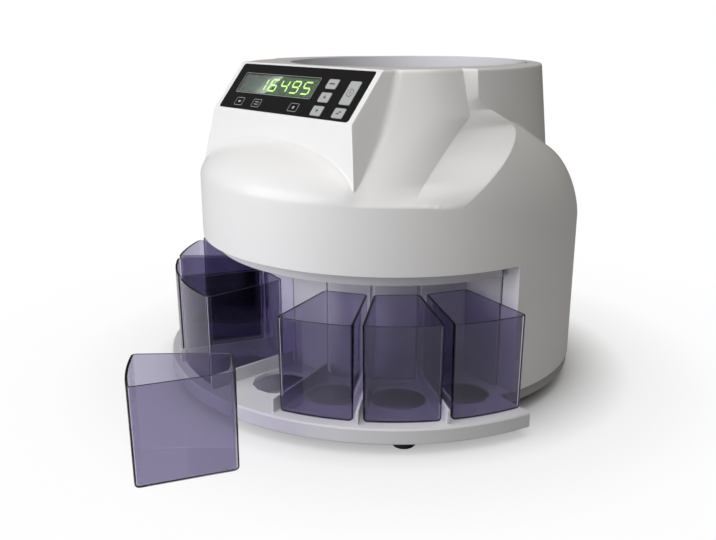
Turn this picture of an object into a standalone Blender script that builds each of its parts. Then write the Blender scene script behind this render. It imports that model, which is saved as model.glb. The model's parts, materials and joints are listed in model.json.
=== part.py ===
# Coin counter with eight cups, a sorting disc and a slanted key panel.
# Metres, +Z up. The front faces -Y and the feet stand on z = 0. Everything is
# built round the vertical axis of the round body and then moved back along Y,
# so that the middle of the whole plan is at zero.
import bpy
import bmesh
import math
from mathutils import Matrix, Vector

# Clearance and overrun used everywhere
gap = 0.0003
overrun = 0.002

# Round body and outer cover
body_radius = 0.164
rim_radius = 0.127
ramp_rim_radius = 0.122
collar_draft = math.radians(6)
cover_wall = 0.003
bay_height = 0.103
skirt_height = 0.0505
crown_height = 0.092
ramp_scoop = 0.003
valley_offset = 0.1285
bay_half_angle = math.radians(83)
return_depth = 0.014
return_thickness = 0.003

# Shoulder and front dome, as shares of the crown
shoulder_height_shares = (0.565, 0.670, 0.224)
shoulder_drop_share = 0.362
shoulder_power_share = 1.65
shoulder_start_angle = math.radians(65)
ridge_top_angle = math.radians(88)
ridge_top_share = 0.543
valley_top_angle = math.radians(72.5)
crease_angle = math.radians(76)
crease_height_share = 0.770
dome_radius_share = 0.545
dome_height_share = 0.478
dome_power_share = 1.9

# Control housing on the front
face_half_width = 0.0875
face_drop = 0.0368
face_top_reach = 0.0910
face_bottom_reach = 0.1215
housing_front_height = 0.0445
housing_front_lean = 0.0063
housing_side_lean = 0.0090
housing_back_reach = 0.060
housing_root = 0.006

# Black panel, display and keys
panel_width = 0.164
panel_margin = 0.0018
panel_thickness = 0.0016
panel_window_border = 0.0016
display_width = 0.097
display_height = 0.0182
display_offset_x = -0.022
display_offset_up = 0.0034
lens_thickness = 0.0012
module_thickness = 0.0035
board_thickness = 0.0016
board_depth = 0.0078
board_border = 0.0055
board_top_cut = 0.004
key_width = 0.012
key_height = 0.0086
tall_key_height = 0.0205
key_thickness = 0.0030
key_rise = 0.0003
key_bevel = 0.0006
outline_key_row = -0.0152
outline_key_columns = (-0.0574, -0.0337, 0.0145)
grey_key_column = 0.0430
grey_key_rows = (0.0086, -0.0035, -0.0156)
end_key_column = 0.0675
end_key_row = -0.0155
tall_key_row = 0.0022

# Hopper
hopper_radius = 0.103
hopper_offset = 0.020
bowl_wall = 0.0025
bowl_foot_radius = 0.088
bowl_flange = 0.0025
bowl_flange_radius = 0.109

# Sorting deck, rail and disc
deck_drop = 0.004
deck_thickness = 0.004
deck_clearance = 0.015
deck_bore = 0.020
window_inner_radius = 0.1125
window_lengths = (0.0165, 0.0178, 0.0190, 0.0202, 0.0214, 0.0226, 0.0238, 0.0250)
window_width = 0.022
rail_height = 0.016
rail_inner_radius = 0.1065
rail_thickness = 0.003
rail_window_height = 0.007
disc_lift = 0.002
disc_radius = 0.104
disc_thickness = 0.004
cap_radius = 0.018
cap_height = 0.016
cap_top_radius = 0.007

# Drive
shaft_radius = 0.005
bush_thickness = 0.004
bush_length = 0.008
housing_wall = 0.004
housing_length = 0.046
housing_flange_radius = 0.034
housing_flange = 0.004
pulley_lift = 0.080
pulley_thickness = 0.012
driven_pulley_radius = 0.040
motor_pulley_radius = 0.010
pulley_rim = 0.002
pulley_lip = 0.002
belt_thickness = 0.0015
motor_offset = 0.068
motor_radius = 0.024
motor_length = 0.055
motor_shaft_radius = 0.003
motor_bevel = 0.0015
bracket_thickness = 0.003
bracket_drop = 0.002
bracket_width = 0.056
bracket_leg = 0.003
motor_screw_radius = 0.0017
motor_screw_head_radius = 0.003
motor_screw_head = 0.0015
motor_screw_length = 0.008
motor_screw_spacing = 0.017

# Chutes and core wall
chute_outer_radius = 0.152
chute_lip = 0.010
chute_inner_width = 0.034
chute_outer_width = 0.042
chute_reach_radius = 0.147
chute_mouth_inner_radius = 0.117
chute_mouth_outer_radius = 0.1485
core_radius = 0.1085
core_wall_thickness = 0.0025
seam_width = 0.003
seam_depth = 0.0012

# Base
tray_radius = 0.197
tray_half_angle = math.radians(79)
base_depth = 0.0125
rear_base_depth = 0.008
rear_base_radius = 0.160
base_wall = 0.003
base_top_thickness = 0.003
tray_bevel = 0.0012
rib_height = 0.011
rib_thickness = 0.002
rib_inner_radius = 0.1125
rib_inset = 0.005
hole_border = 0.0024
hole_inset = 0.0081
slot_pitch = math.radians(19.8)
slot_count = 8

# Feet
foot_height = 0.0077
foot_radius = 0.009
foot_bevel = 0.001
foot_boss_radius = 0.011
front_foot_inset = 0.017
front_foot_angle = math.radians(50)
rear_foot_inset = 0.022
rear_foot_angle = math.radians(140)

# Cups
cup_inner_radius = 0.1166
cup_front_inset = 0.0074
cup_inner_side_gap = 0.00235
cup_outer_side_gap = 0.0031
cup_height = 0.0744
cup_wall = 0.0019
cup_floor = 0.0022
cup_corner = 0.005
loose_cup_slot = 3
loose_cup_x = 0.075
loose_cup_y = -0.218
loose_cup_turn = math.radians(-31.1)

# Electronics
main_board_width = 0.062
main_board_depth = 0.048
main_board_x = -0.052
main_board_y = -0.034
main_board_lift = 0.010
main_chip_size = 0.016
main_chip_height = 0.003
standoff_radius = 0.003
standoff_inset = 0.005
supply_width = 0.050
supply_depth = 0.072
supply_height = 0.034
supply_x = 0.056
supply_y = -0.020
supply_bevel = 0.0015
sensor_board_width = 0.040
sensor_board_depth = 0.020
sensor_board_x = -0.060

# Rear panel, inlet, switch and port
rear_panel_width = 0.086
rear_panel_height = 0.040
rear_panel_thickness = 0.0025
rear_panel_back = 0.1515
rear_window_border = 0.003
rear_window_lift = 0.004
inlet_width = 0.027
inlet_height = 0.020
inlet_depth = 0.024
inlet_x = -0.023
inlet_wall = 0.002
inlet_pocket = 0.016
switch_width = 0.015
switch_height = 0.021
switch_depth = 0.018
switch_x = 0.005
switch_wall = 0.0017
switch_pocket = 0.010
rocker_half_height = 0.0079
rocker_dip = 0.0012
rocker_side = 0.0010
rocker_depth = 0.004
rocker_back_half = 0.005
rocker_tilt = math.radians(8)
rocker_side_gap = 0.0004
rocker_pivot_depth = 0.002
port_width = 0.016
port_height = 0.014
port_depth = 0.018
port_x = 0.028
port_wall = 0.0016
port_pocket = 0.013
socket_flange = 0.0018
socket_flange_border = 0.002

# Screws that hold the cover to the base
screw_radius = 0.0018
screw_head_radius = 0.0036
screw_head = 0.0022
screw_length = 0.026
screw_recess = 0.003
screw_pad_radius = 0.006
screw_inset = 0.010
screw_angles = (math.radians(102), math.radians(158))
boss_width = 0.012
boss_height = 0.036

# Facets of round shapes
fine_sides = 48
round_sides = 24
small_sides = 12
arc_steps = 6
fan_steps = 24
arc_columns = 34
shoulder_rows = 6
collar_rows = 2
smooth_angle = math.radians(35)

# Places and widths that follow from the sizes above
cup_outer_radius = tray_radius - cup_front_inset
cup_inner_width = 2 * (cup_inner_radius * math.tan(slot_pitch / 2) - cup_inner_side_gap)
cup_outer_width = 2 * (cup_outer_radius * math.sin(slot_pitch / 2) - cup_outer_side_gap)
hole_place_radius = (cup_inner_radius + cup_outer_radius) / 2 - hole_inset
hole_radius = hole_place_radius * math.sin(slot_pitch / 2) - hole_border
rib_outer_radius = tray_radius - rib_inset
front_foot_radius = tray_radius - front_foot_inset
rear_foot_radius = rear_base_radius - rear_foot_inset
screw_place_radius = rear_base_radius - screw_inset
inside_radius = body_radius - cover_wall
return_reach = inside_radius - return_depth
core_return_radius = return_reach - gap
core_half_angle = bay_half_angle - math.asin((core_wall_thickness + gap) / return_reach)

# Heights that follow from the sizes above
base_bottom = foot_height + gap
base_top = base_bottom + base_depth
cover_bottom = base_top + gap
cup_bottom = base_top + gap
skirt_bottom = base_top + bay_height
skirt_top = skirt_bottom + skirt_height
rim_height = skirt_top + crown_height
face_bottom = rim_height - face_drop
housing_bottom = face_bottom - housing_front_height
deck_top = skirt_top - deck_drop
deck_bottom = deck_top - deck_thickness
rail_top = deck_top + gap + rail_height
disc_bottom = deck_top + disc_lift
disc_top = disc_bottom + disc_thickness
pulley_bottom = base_top + pulley_lift
pulley_top = pulley_bottom + pulley_thickness
bracket_top = pulley_bottom - bracket_drop
bracket_bottom = bracket_top - bracket_thickness
chute_bottom = skirt_bottom - chute_lip
face_height = math.hypot(face_drop, face_bottom_reach - face_top_reach)
face_tilt = math.atan2(face_drop, face_bottom_reach - face_top_reach)
panel_height = face_height - 2 * panel_margin


def slot_angle(number):
    """Angle of a slot from the front; slot 0 is at the right, seen from the front."""
    return ((slot_count - 1) / 2 - number) * slot_pitch


def polar(radius, angle, height=0.0):
    """Point at an angle from the front, which is -Y, turning towards +X."""
    return Vector((radius * math.sin(angle), -radius * math.cos(angle), height))


# Materials and object helpers

def material(name, color, roughness, metallic=0.0, alpha=1.0):
    made = bpy.data.materials.get(name)
    if made:
        return made
    made = bpy.data.materials.new(name)
    made.use_nodes = True
    made.diffuse_color = (*color, alpha)
    shader = made.node_tree.nodes["Principled BSDF"]
    shader.inputs["Base Color"].default_value = (*color, 1.0)
    shader.inputs["Roughness"].default_value = roughness
    shader.inputs["Metallic"].default_value = metallic
    shader.inputs["Alpha"].default_value = alpha
    return made


finishes = {
    "white": ((0.80, 0.80, 0.79), 0.22, 0.0, 1.0),
    "light_grey": ((0.62, 0.62, 0.62), 0.40, 0.0, 1.0),
    "lilac_grey": ((0.58, 0.58, 0.64), 0.35, 0.0, 1.0),
    "black_gloss": ((0.012, 0.012, 0.014), 0.20, 0.0, 1.0),
    "black": ((0.030, 0.030, 0.032), 0.50, 0.0, 1.0),
    "key_grey": ((0.42, 0.43, 0.44), 0.45, 0.0, 1.0),
    "smoke": ((0.20, 0.17, 0.36), 0.12, 0.0, 0.45),
    "clear": ((0.10, 0.12, 0.11), 0.10, 0.0, 0.40),
    "rubber": ((0.020, 0.020, 0.020), 0.80, 0.0, 1.0),
    "steel": ((0.60, 0.60, 0.61), 0.30, 1.0, 1.0),
    "brass": ((0.72, 0.55, 0.24), 0.35, 1.0, 1.0),
    "board_green": ((0.03, 0.19, 0.09), 0.45, 0.0, 1.0),
}


def finish(made, color):
    """Give the object its own material and smooth shading with sharp creases."""
    values = finishes[color]
    made.data.materials.clear()
    made.data.materials.append(material(made.name + "_finish", *values))
    made.data.shade_smooth()
    made.data.set_sharp_from_angle(angle=smooth_angle)
    return made


def from_bmesh(name, shape):
    bmesh.ops.recalc_face_normals(shape, faces=shape.faces)
    mesh = bpy.data.meshes.new(name)
    shape.to_mesh(mesh)
    shape.free()
    made = bpy.data.objects.new(name, mesh)
    bpy.context.collection.objects.link(made)
    return made


def place(made, location=(0, 0, 0), turn=0.0):
    made.location = location
    made.rotation_euler = (0, 0, turn)
    return made


def loft(name, loops):
    """Closed body through loops that have the same number of points."""
    shape = bmesh.new()
    rings = [[shape.verts.new(point) for point in loop] for loop in loops]
    for lower, upper in zip(rings, rings[1:]):
        for i in range(len(lower)):
            j = (i + 1) % len(lower)
            shape.faces.new((lower[i], lower[j], upper[j], upper[i]))
    shape.faces.new(list(reversed(rings[0])))
    shape.faces.new(rings[-1])
    return from_bmesh(name, shape)


def prism(name, outline, low, high):
    """Upright prism over a plan outline."""
    loops = [[(x, y, z) for x, y in outline] for z in (low, high)]
    return loft(name, loops)


def turned(name, profile, sides=round_sides, centre=(0, 0)):
    """Body turned about an upright axis from (radius, height) points.

    A profile that starts and ends on the axis makes a solid, and any other one
    is closed into a ring.
    """
    shape = bmesh.new()
    solid = profile[0][0] == 0 and profile[-1][0] == 0
    rings = []
    for radius, height in profile:
        if radius == 0:
            rings.append([shape.verts.new((centre[0], centre[1], height))])
        else:
            ring = []
            for i in range(sides):
                point = polar(radius, math.tau * i / sides, height)
                ring.append(shape.verts.new((point.x + centre[0], point.y + centre[1], point.z)))
            rings.append(ring)
    pairs = list(zip(rings, rings[1:]))
    if not solid:
        pairs.append((rings[-1], rings[0]))
    for a, b in pairs:
        for i in range(sides):
            j = (i + 1) % sides
            corners = [a[0]] if len(a) == 1 else [a[i], a[j]]
            corners += [b[0]] if len(b) == 1 else [b[j], b[i]]
            shape.faces.new(corners)
    return from_bmesh(name, shape)


def post(name, radius, low, high, spot, sides=small_sides):
    """Upright round post between two heights."""
    return turned(name, [(0, low), (radius, low), (radius, high), (0, high)], sides, spot)


def block(name, low, high):
    """Box between two corners."""
    outline = [(low[0], low[1]), (high[0], low[1]), (high[0], high[1]), (low[0], high[1])]
    return prism(name, outline, low[2], high[2])


def standing_block(name, width, depth, height, x, y, z):
    """Box centred on x and y that stands on height z."""
    low = (x - width / 2, y - depth / 2, z)
    high = (x + width / 2, y + depth / 2, z + height)
    return block(name, low, high)


def boolean(made, other, operation, solver="EXACT"):
    step = made.modifiers.new(operation.lower() + "_" + other.name, "BOOLEAN")
    step.operation = operation
    step.solver = solver
    step.object = other
    other.hide_render = True
    other.display_type = "WIRE"
    return made


def cut(made, *others):
    for other in others:
        boolean(made, other, "DIFFERENCE")
    return made


def join(made, *others):
    for other in others:
        boolean(made, other, "UNION")
    return made


def bevel(made, width, angle=math.radians(40)):
    step = made.modifiers.new("bevel", "BEVEL")
    step.width = width
    step.segments = 1
    step.limit_method = "ANGLE"
    step.angle_limit = angle
    return made


# Outer cover: surface of the body as a radius at an angle and a height

def crown(share):
    """Height at a share of the crown above the skirt."""
    return skirt_top + crown_height * share


def collar(height):
    return rim_radius + (rim_height - height) * math.tan(collar_draft)


def ramp(height):
    fall = (rim_height - height) / crown_height
    straight = ramp_rim_radius + (body_radius - ramp_rim_radius) * fall
    return straight - ramp_scoop * math.sin(math.pi * fall)


def front_dome(height):
    low_radius = body_radius * dome_radius_share
    rise = (height - skirt_top) / (crown_height * dome_height_share)
    if rise >= 1:
        return low_radius
    curve = (1 - max(rise, 0) ** dome_power_share) ** (1 / dome_power_share)
    return low_radius + (body_radius - low_radius) * curve


def shoulder_top(angle):
    """Height at which the shoulder meets the collar."""
    middle, slope, bend = shoulder_height_shares
    turn = math.cos(max(abs(angle), crease_angle))
    return crown(middle + slope * turn + bend * turn * turn)


def shoulder_foot(angle):
    """Height at which the shoulder leaves the upright wall."""
    drop = math.cos(shoulder_start_angle) - math.cos(abs(angle))
    return skirt_top - crown_height * shoulder_drop_share * max(drop, 0)


def side_radius(angle, height):
    """Shoulder below its meeting line with the collar, collar above it."""
    top = shoulder_top(angle)
    foot = shoulder_foot(angle)
    if height >= top:
        return collar(height)
    rise = max((height - foot) / (top - foot), 0)
    curve = (1 - rise ** shoulder_power_share) ** (1 / shoulder_power_share)
    return collar(top) + (body_radius - collar(top)) * curve


def valley_angle(height):
    return min(math.asin(min(valley_offset / ramp(height), 1)), valley_top_angle)


def ridge_angle(height):
    """Angle at which the narrow facet beside the ramp ends."""
    ridge_top = crown(ridge_top_share)
    crease = crown(crease_height_share)
    if height <= ridge_top:
        rise = (height - skirt_top) / (ridge_top - skirt_top)
        return shoulder_start_angle + (ridge_top_angle - shoulder_start_angle) * rise
    fade = min((height - ridge_top) / (crease - ridge_top), 1)
    return ridge_top_angle + (crease_angle - ridge_top_angle) * fade


def face_reach(height):
    """How far in front of the axis the slanted face is at a height."""
    share = (rim_height - height) / face_drop
    return face_top_reach + (face_bottom_reach - face_top_reach) * share


def housing_angle(height):
    """Angle of the control housing's corner."""
    if height >= face_bottom:
        return math.atan2(face_half_width, face_reach(height))
    share = (face_bottom - height) / housing_front_height
    side = face_half_width + housing_side_lean * share
    return math.atan2(side, face_bottom_reach + housing_front_lean * share)


def surface_radius(angle, height):
    """Outer radius of the cover, without the control housing."""
    turn = abs(angle)
    if height <= shoulder_foot(turn):
        return body_radius
    if turn <= housing_angle(height):
        return front_dome(height)
    start = valley_angle(height)
    end = ridge_angle(height)
    if turn <= start:
        return ramp(height)
    if turn >= end:
        return side_radius(turn, height)
    first = polar(ramp(height), start)
    last = polar(side_radius(end, height), end)
    across = last - first
    ray = polar(1, turn)
    return (first.x * across.y - first.y * across.x) / (ray.x * across.y - ray.y * across.x)


def cover_columns():
    """Angles of the columns: coarse in front and behind, fine at the creases."""
    turns = [math.radians(a) for a in (0, 8, 16, 24, 30)]
    turns += [math.radians(a) for a in range(33, 94, 3)]
    turns += [math.radians(a) for a in range(98, 178, 8)]
    mirrored = [-a for a in reversed(turns) if a > 0]
    return mirrored + turns + [math.pi]


def row_height(angle, row, high):
    """Height of a row of the mesh: rows crowd where the shoulder turns in."""
    foot = shoulder_foot(angle)
    top = shoulder_top(angle)
    if row <= shoulder_rows:
        return foot + (top - foot) * math.sin(math.pi / 2 * row / shoulder_rows)
    return top + (high - top) * (row - shoulder_rows) / collar_rows


def body_loops(inset, low, high):
    """Loops from the bottom to the top, drawn in by an inset."""
    loops = [[polar(body_radius - inset, a, low) for a in cover_columns()]]
    for row in range(shoulder_rows + collar_rows + 1):
        loop = []
        for angle in cover_columns():
            height = row_height(angle, row, high)
            loop.append(polar(surface_radius(angle, height) - inset, angle, height))
        loops.append(loop)
    return loops


def housing_corners(inset):
    """Corners of one side of the control housing, drawn in by an inset."""
    side_mid = Vector((face_half_width, -face_top_reach, rim_height))
    low_mid = Vector((face_half_width, -face_bottom_reach, face_bottom))
    foot_point = Vector((face_half_width + housing_side_lean,
                         -face_bottom_reach - housing_front_lean, housing_bottom))
    side_normal = (low_mid - side_mid).cross(foot_point - low_mid).normalized()
    if side_normal.x < 0:
        side_normal.negate()
    face_normal = Vector((0, -math.sin(face_tilt), math.cos(face_tilt)))
    lean = math.atan2(housing_front_lean, housing_front_height)
    front_normal = Vector((0, -math.cos(lean), math.sin(lean)))
    side = (side_normal, side_normal.dot(side_mid) - inset)
    face = (face_normal, face_normal.dot(side_mid) - inset)
    front = (front_normal, front_normal.dot(low_mid) - inset)
    top = (Vector((0, 0, 1)), rim_height - inset)
    bottom = (Vector((0, 0, 1)), housing_bottom - housing_root + inset)
    back = (Vector((0, 1, 0)), -housing_back_reach)
    meetings = ((side, face, top), (side, face, front), (side, front, bottom),
                (side, back, bottom), (side, back, top))
    return [meet(*planes) for planes in meetings]


def meet(*planes):
    """Point where three planes, each a normal and an offset, meet."""
    rows = Matrix([plane[0] for plane in planes])
    return rows.inverted() @ Vector([plane[1] for plane in planes])


def housing_block(name, inset):
    shape = bmesh.new()
    right = [shape.verts.new(point) for point in housing_corners(inset)]
    left = [shape.verts.new((-point.x, point.y, point.z)) for point in housing_corners(inset)]
    shape.faces.new(right)
    shape.faces.new(list(reversed(left)))
    for i in range(len(right)):
        j = (i + 1) % len(right)
        shape.faces.new((right[j], right[i], left[i], left[j]))
    return from_bmesh(name, shape)


def face_matrix(across=0.0, up=0.0, out=0.0):
    """Frame on the slanted face: x across, y up the face, z out of it."""
    right = Vector((1, 0, 0))
    along = Vector((0, math.cos(face_tilt), math.sin(face_tilt)))
    normal = Vector((0, -math.sin(face_tilt), math.cos(face_tilt)))
    middle = Vector((0, -(face_top_reach + face_bottom_reach) / 2, rim_height - face_drop / 2))
    origin = middle + right * across + along * up + normal * out
    columns = Matrix((right, along, normal)).transposed().to_4x4()
    return Matrix.Translation(origin) @ columns


def face_block(name, width, height, low, high, across=0.0, up=0.0):
    """Box on the slanted face, between two depths measured out of the face."""
    made = block(name, (-width / 2, -height / 2, low), (width / 2, height / 2, high))
    made.matrix_world = face_matrix(across, up)
    return made


def sector(name, radius, half_angle, low, high):
    """Pie slice about the body's axis, centred on the front."""
    outline = [(0, 0)]
    for i in range(fan_steps + 1):
        point = polar(radius, -half_angle + 2 * half_angle * i / fan_steps)
        outline.append((point.x, point.y))
    return prism(name, outline, low, high)


def return_wall(name, side):
    """Upright wall that closes the column's front edge, square to the skirt."""
    angle = bay_half_angle * side
    inner = polar(return_reach, angle)
    outer = polar(body_radius - cover_wall / 2, angle)
    across = polar(return_thickness, angle + math.pi / 2 * side)
    ahead = polar(-overrun, angle + math.pi / 2 * side)
    corners = [inner + ahead, outer + ahead, outer + across, inner + across]
    outline = [(point.x, point.y) for point in corners]
    return prism(name, outline, cover_bottom - overrun, skirt_bottom + overrun)


def screw_turns():
    return [angle * side for angle in screw_angles for side in (-1, 1)]


def screw_places():
    return [polar(screw_place_radius, angle) for angle in screw_turns()]


def boss(name, angle):
    """Square boss that reaches out from a screw into the wall."""
    near = screw_place_radius - boss_width / 2
    far = body_radius - cover_wall / 2
    made = block(name, (-boss_width / 2, -far, cover_bottom - overrun),
                 (boss_width / 2, -near, cover_bottom + boss_height))
    return place(made, turn=angle)


def rear_window_low():
    return cover_bottom + rear_window_lift


def rear_window_high():
    return rear_window_low() + rear_panel_height - rear_window_lift - rear_window_border


def make_cover():
    low = cover_bottom - 2 * overrun
    reach = body_radius + overrun
    cover = loft("outer_cover", body_loops(0, low, rim_height))
    join(cover, housing_block("housing_outside", 0))
    inside = body_loops(cover_wall, low - overrun, rim_height - cover_wall)
    cut(cover, loft("body_inside", inside), housing_block("housing_inside", cover_wall))
    for number, side in enumerate((-1, 1)):
        join(cover, return_wall("return_wall_" + str(number), side))
    for number, angle in enumerate(screw_turns()):
        join(cover, boss("boss_" + str(number), angle))
    for number, spot in enumerate(screw_places()):
        cut(cover, post("screw_bore_" + str(number), screw_radius + gap, low,
                        cover_bottom + screw_length, (spot.x, spot.y)))
    cut(cover, sector("bay", reach, bay_half_angle, low - 2 * overrun, skirt_bottom))
    cut(cover, block("cover_foot", (-reach, -reach, low - 2 * overrun), (reach, reach, cover_bottom)))
    cut(cover, post("hopper_hole", hopper_radius, rim_height - cover_wall - overrun,
                    rim_height + overrun, (0, hopper_offset), fine_sides))
    cut(cover, face_block("panel_recess", panel_width + 2 * gap, panel_height + 2 * gap,
                          -panel_thickness - gap, overrun))
    opening_width = panel_width - 2 * panel_window_border
    opening_height = panel_height - 2 * panel_window_border
    cut(cover, face_block("panel_window", opening_width, opening_height,
                          -cover_wall - overrun, -panel_thickness / 2))
    half = rear_panel_width / 2 - rear_window_border
    cut(cover, block("rear_window", (-half, rear_panel_back + rear_panel_thickness, rear_window_low()),
                     (half, reach, rear_window_high())))
    return finish(cover, "white")


# Hopper bowl

def make_bowl():
    """Slanting funnel whose mouth is set back from its foot, with a flange below."""
    foot = rail_top + gap
    floor = foot + bowl_flange
    top = rim_height
    mouth = hopper_radius - gap

    def ring(radius, height, shift):
        points = [polar(radius, math.tau * i / fine_sides, height) for i in range(fine_sides)]
        return [Vector((p.x, p.y + shift, p.z)) for p in points]

    loops = [ring(bowl_foot_radius, foot, 0), ring(bowl_flange_radius, foot, 0),
             ring(bowl_flange_radius, floor, 0), ring(bowl_foot_radius + bowl_wall, floor, 0),
             ring(mouth, top, hopper_offset), ring(mouth - bowl_wall, top, hopper_offset),
             ring(bowl_foot_radius, floor, 0)]
    shape = bmesh.new()
    rings = [[shape.verts.new(point) for point in loop] for loop in loops]
    for lower, upper in zip(rings, rings[1:] + rings[:1]):
        for i in range(fine_sides):
            j = (i + 1) % fine_sides
            shape.faces.new((lower[i], lower[j], upper[j], upper[i]))
    return finish(from_bmesh("hopper_bowl", shape), "lilac_grey")


# Sorting deck, rail and disc

def slot_shaft(name, number, lower, upper, low, high):
    """Four-sided shaft at a slot between two heights.

    Each end is an inner radius, an outer radius and the widths there.
    """
    loops = []
    for (near, far, near_width, far_width), height in ((lower, low), (upper, high)):
        loops.append([(-far_width / 2, -far, height), (far_width / 2, -far, height),
                      (near_width / 2, -near, height), (-near_width / 2, -near, height)])
    return place(loft(name, loops), turn=slot_angle(number))


def make_deck():
    radius = inside_radius - deck_clearance
    profile = [(deck_bore, deck_bottom), (radius, deck_bottom), (radius, deck_top), (deck_bore, deck_top)]
    deck = turned("sorting_deck", profile, fine_sides)
    for number in range(slot_count):
        outer = window_inner_radius + window_lengths[number]
        window = (window_inner_radius, outer, window_width, window_width)
        cut(deck, slot_shaft("deck_window_" + str(number), number, window, window,
                             deck_bottom - overrun, deck_top + overrun))
    return finish(deck, "light_grey")


def make_rail():
    low = deck_top + gap
    outer = rail_inner_radius + rail_thickness
    profile = [(rail_inner_radius, low), (outer, low), (outer, rail_top), (rail_inner_radius, rail_top)]
    rail = turned("coin_rail", profile, fine_sides)
    for number in range(slot_count):
        length = window_lengths[number]
        window = (rail_inner_radius - overrun, outer + overrun, length, length)
        cut(rail, slot_shaft("rail_window_" + str(number), number, window, window,
                             low + overrun, low + overrun + rail_window_height))
    return finish(rail, "steel")


def make_disc():
    disc = [(0, disc_bottom), (disc_radius, disc_bottom), (disc_radius, disc_top), (0, disc_top)]
    finish(turned("feed_disc", disc, fine_sides), "light_grey")
    low = disc_top + gap
    cap = [(0, low), (cap_radius, low), (cap_radius, low + cap_height / 2),
           (cap_top_radius, low + cap_height), (0, low + cap_height)]
    finish(turned("disc_cap", cap, small_sides), "black")
    foot = pulley_bottom - bush_length / 2
    shaft = [(0, foot), (shaft_radius, foot), (shaft_radius, disc_bottom - gap), (0, disc_bottom - gap)]
    finish(turned("disc_shaft", shaft, small_sides), "steel")


# Drive under the deck

def housing_inner_radius():
    return shaft_radius + gap + bush_thickness + gap


def make_bearings():
    top = deck_bottom - gap
    inner = housing_inner_radius()
    outer = inner + housing_wall
    foot = top - housing_length
    profile = [(inner, foot), (outer, foot), (outer, top - housing_flange),
               (housing_flange_radius, top - housing_flange), (housing_flange_radius, top), (inner, top)]
    finish(turned("bearing_housing", profile, round_sides), "light_grey")
    for name, low in (("lower_bush", foot), ("upper_bush", top - bush_length)):
        bore = shaft_radius + gap
        ring = [(bore, low), (bore + bush_thickness, low),
                (bore + bush_thickness, low + bush_length), (bore, low + bush_length)]
        finish(turned(name, ring, small_sides), "brass")


def pulley(name, radius, bore, centre):
    """Flanged pulley: the belt runs between its two lips."""
    ring = [(bore, pulley_bottom), (radius + pulley_rim, pulley_bottom),
            (radius + pulley_rim, pulley_bottom + pulley_lip), (radius, pulley_bottom + pulley_lip),
            (radius, pulley_top - pulley_lip), (radius + pulley_rim, pulley_top - pulley_lip),
            (radius + pulley_rim, pulley_top), (bore, pulley_top)]
    return place(turned(name, ring, round_sides), (centre[0], centre[1], 0))


def belt_outline(spread):
    """Outline of two circles and the straight runs between them."""
    big = driven_pulley_radius + spread
    small = motor_pulley_radius + spread
    lean = math.acos((big - small) / motor_offset)
    points = []
    steps = 2 * arc_steps
    for i in range(steps + 1):
        angle = math.pi / 2 + lean + (math.tau - 2 * lean) * i / steps
        points.append((big * math.cos(angle), big * math.sin(angle)))
    for i in range(steps + 1):
        angle = math.pi / 2 - lean + 2 * lean * i / steps
        points.append((small * math.cos(angle), motor_offset + small * math.sin(angle)))
    return points


def make_belt():
    low = pulley_bottom + pulley_lip + gap
    high = pulley_top - pulley_lip - gap
    slack = driven_pulley_radius * (1 / math.cos(math.pi / (2 * arc_steps)) - 1)
    inner = 2 * gap + slack
    shape = bmesh.new()
    rings = []
    for spread, height in ((inner, low), (inner + belt_thickness, low),
                           (inner + belt_thickness, high), (inner, high)):
        rings.append([shape.verts.new((x, y, height)) for x, y in belt_outline(spread)])
    for a, b in zip(rings, rings[1:] + rings[:1]):
        for i in range(len(a)):
            j = (i + 1) % len(a)
            shape.faces.new((a[i], a[j], b[j], b[i]))
    finish(from_bmesh("drive_belt", shape), "rubber")


def make_motor():
    centre = (0, motor_offset)
    top = bracket_bottom - gap
    low = top - motor_length
    body = [(0, low), (motor_radius - motor_bevel, low), (motor_radius, low + motor_bevel),
            (motor_radius, top - motor_bevel), (motor_radius - motor_bevel, top),
            (motor_shaft_radius, top), (motor_shaft_radius, pulley_top), (0, pulley_top)]
    motor = turned("drive_motor", body, round_sides, centre)
    bore = motor_screw_radius + gap
    for number, side in enumerate((-1, 1)):
        spot = (motor_screw_spacing * side, motor_offset)
        cut(motor, post("motor_screw_hole_" + str(number), bore, top - motor_screw_length,
                        top + overrun, spot))
    finish(motor, "steel")
    finish(pulley("motor_pulley", motor_pulley_radius, motor_shaft_radius + gap, centre), "black")
    half = bracket_width / 2
    legs = half + bracket_leg
    foot = base_top + gap
    bracket = block("motor_bracket", (-legs, motor_offset - half, bracket_bottom),
                    (legs, motor_offset + half / 2, bracket_top))
    for number, side in enumerate((-1, 1)):
        edges = sorted((half * side, legs * side))
        join(bracket, block("bracket_leg_" + str(number), (edges[0], motor_offset - half, foot),
                            (edges[1], motor_offset + half / 2, bracket_top)))
        spot = (motor_screw_spacing * side, motor_offset)
        cut(bracket, post("bracket_hole_" + str(number), bore, bracket_bottom - overrun,
                          bracket_top + overrun, spot))
        tip = bracket_top - motor_screw_length
        seat = bracket_top + gap
        screw = [(0, tip), (motor_screw_radius, tip), (motor_screw_radius, seat),
                 (motor_screw_head_radius, seat), (motor_screw_head_radius, seat + motor_screw_head),
                 (0, seat + motor_screw_head)]
        finish(turned("motor_screw_" + str(number + 1), screw, small_sides, spot), "steel")
    cut(bracket, post("bracket_bore", motor_shaft_radius + overrun, bracket_bottom - overrun,
                      bracket_top + overrun, centre))
    finish(bracket, "steel")


def make_drive():
    make_bearings()
    finish(pulley("driven_pulley", driven_pulley_radius, shaft_radius + gap, (0, 0)), "black")
    make_belt()
    make_motor()


# Chute ring and core wall

def arc(radius, half_angle):
    """Points of an arc centred on the front, from left to right."""
    turns = [half_angle * (2 * i / arc_columns - 1) for i in range(arc_columns + 1)]
    return [polar(radius, turn) for turn in turns]


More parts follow.
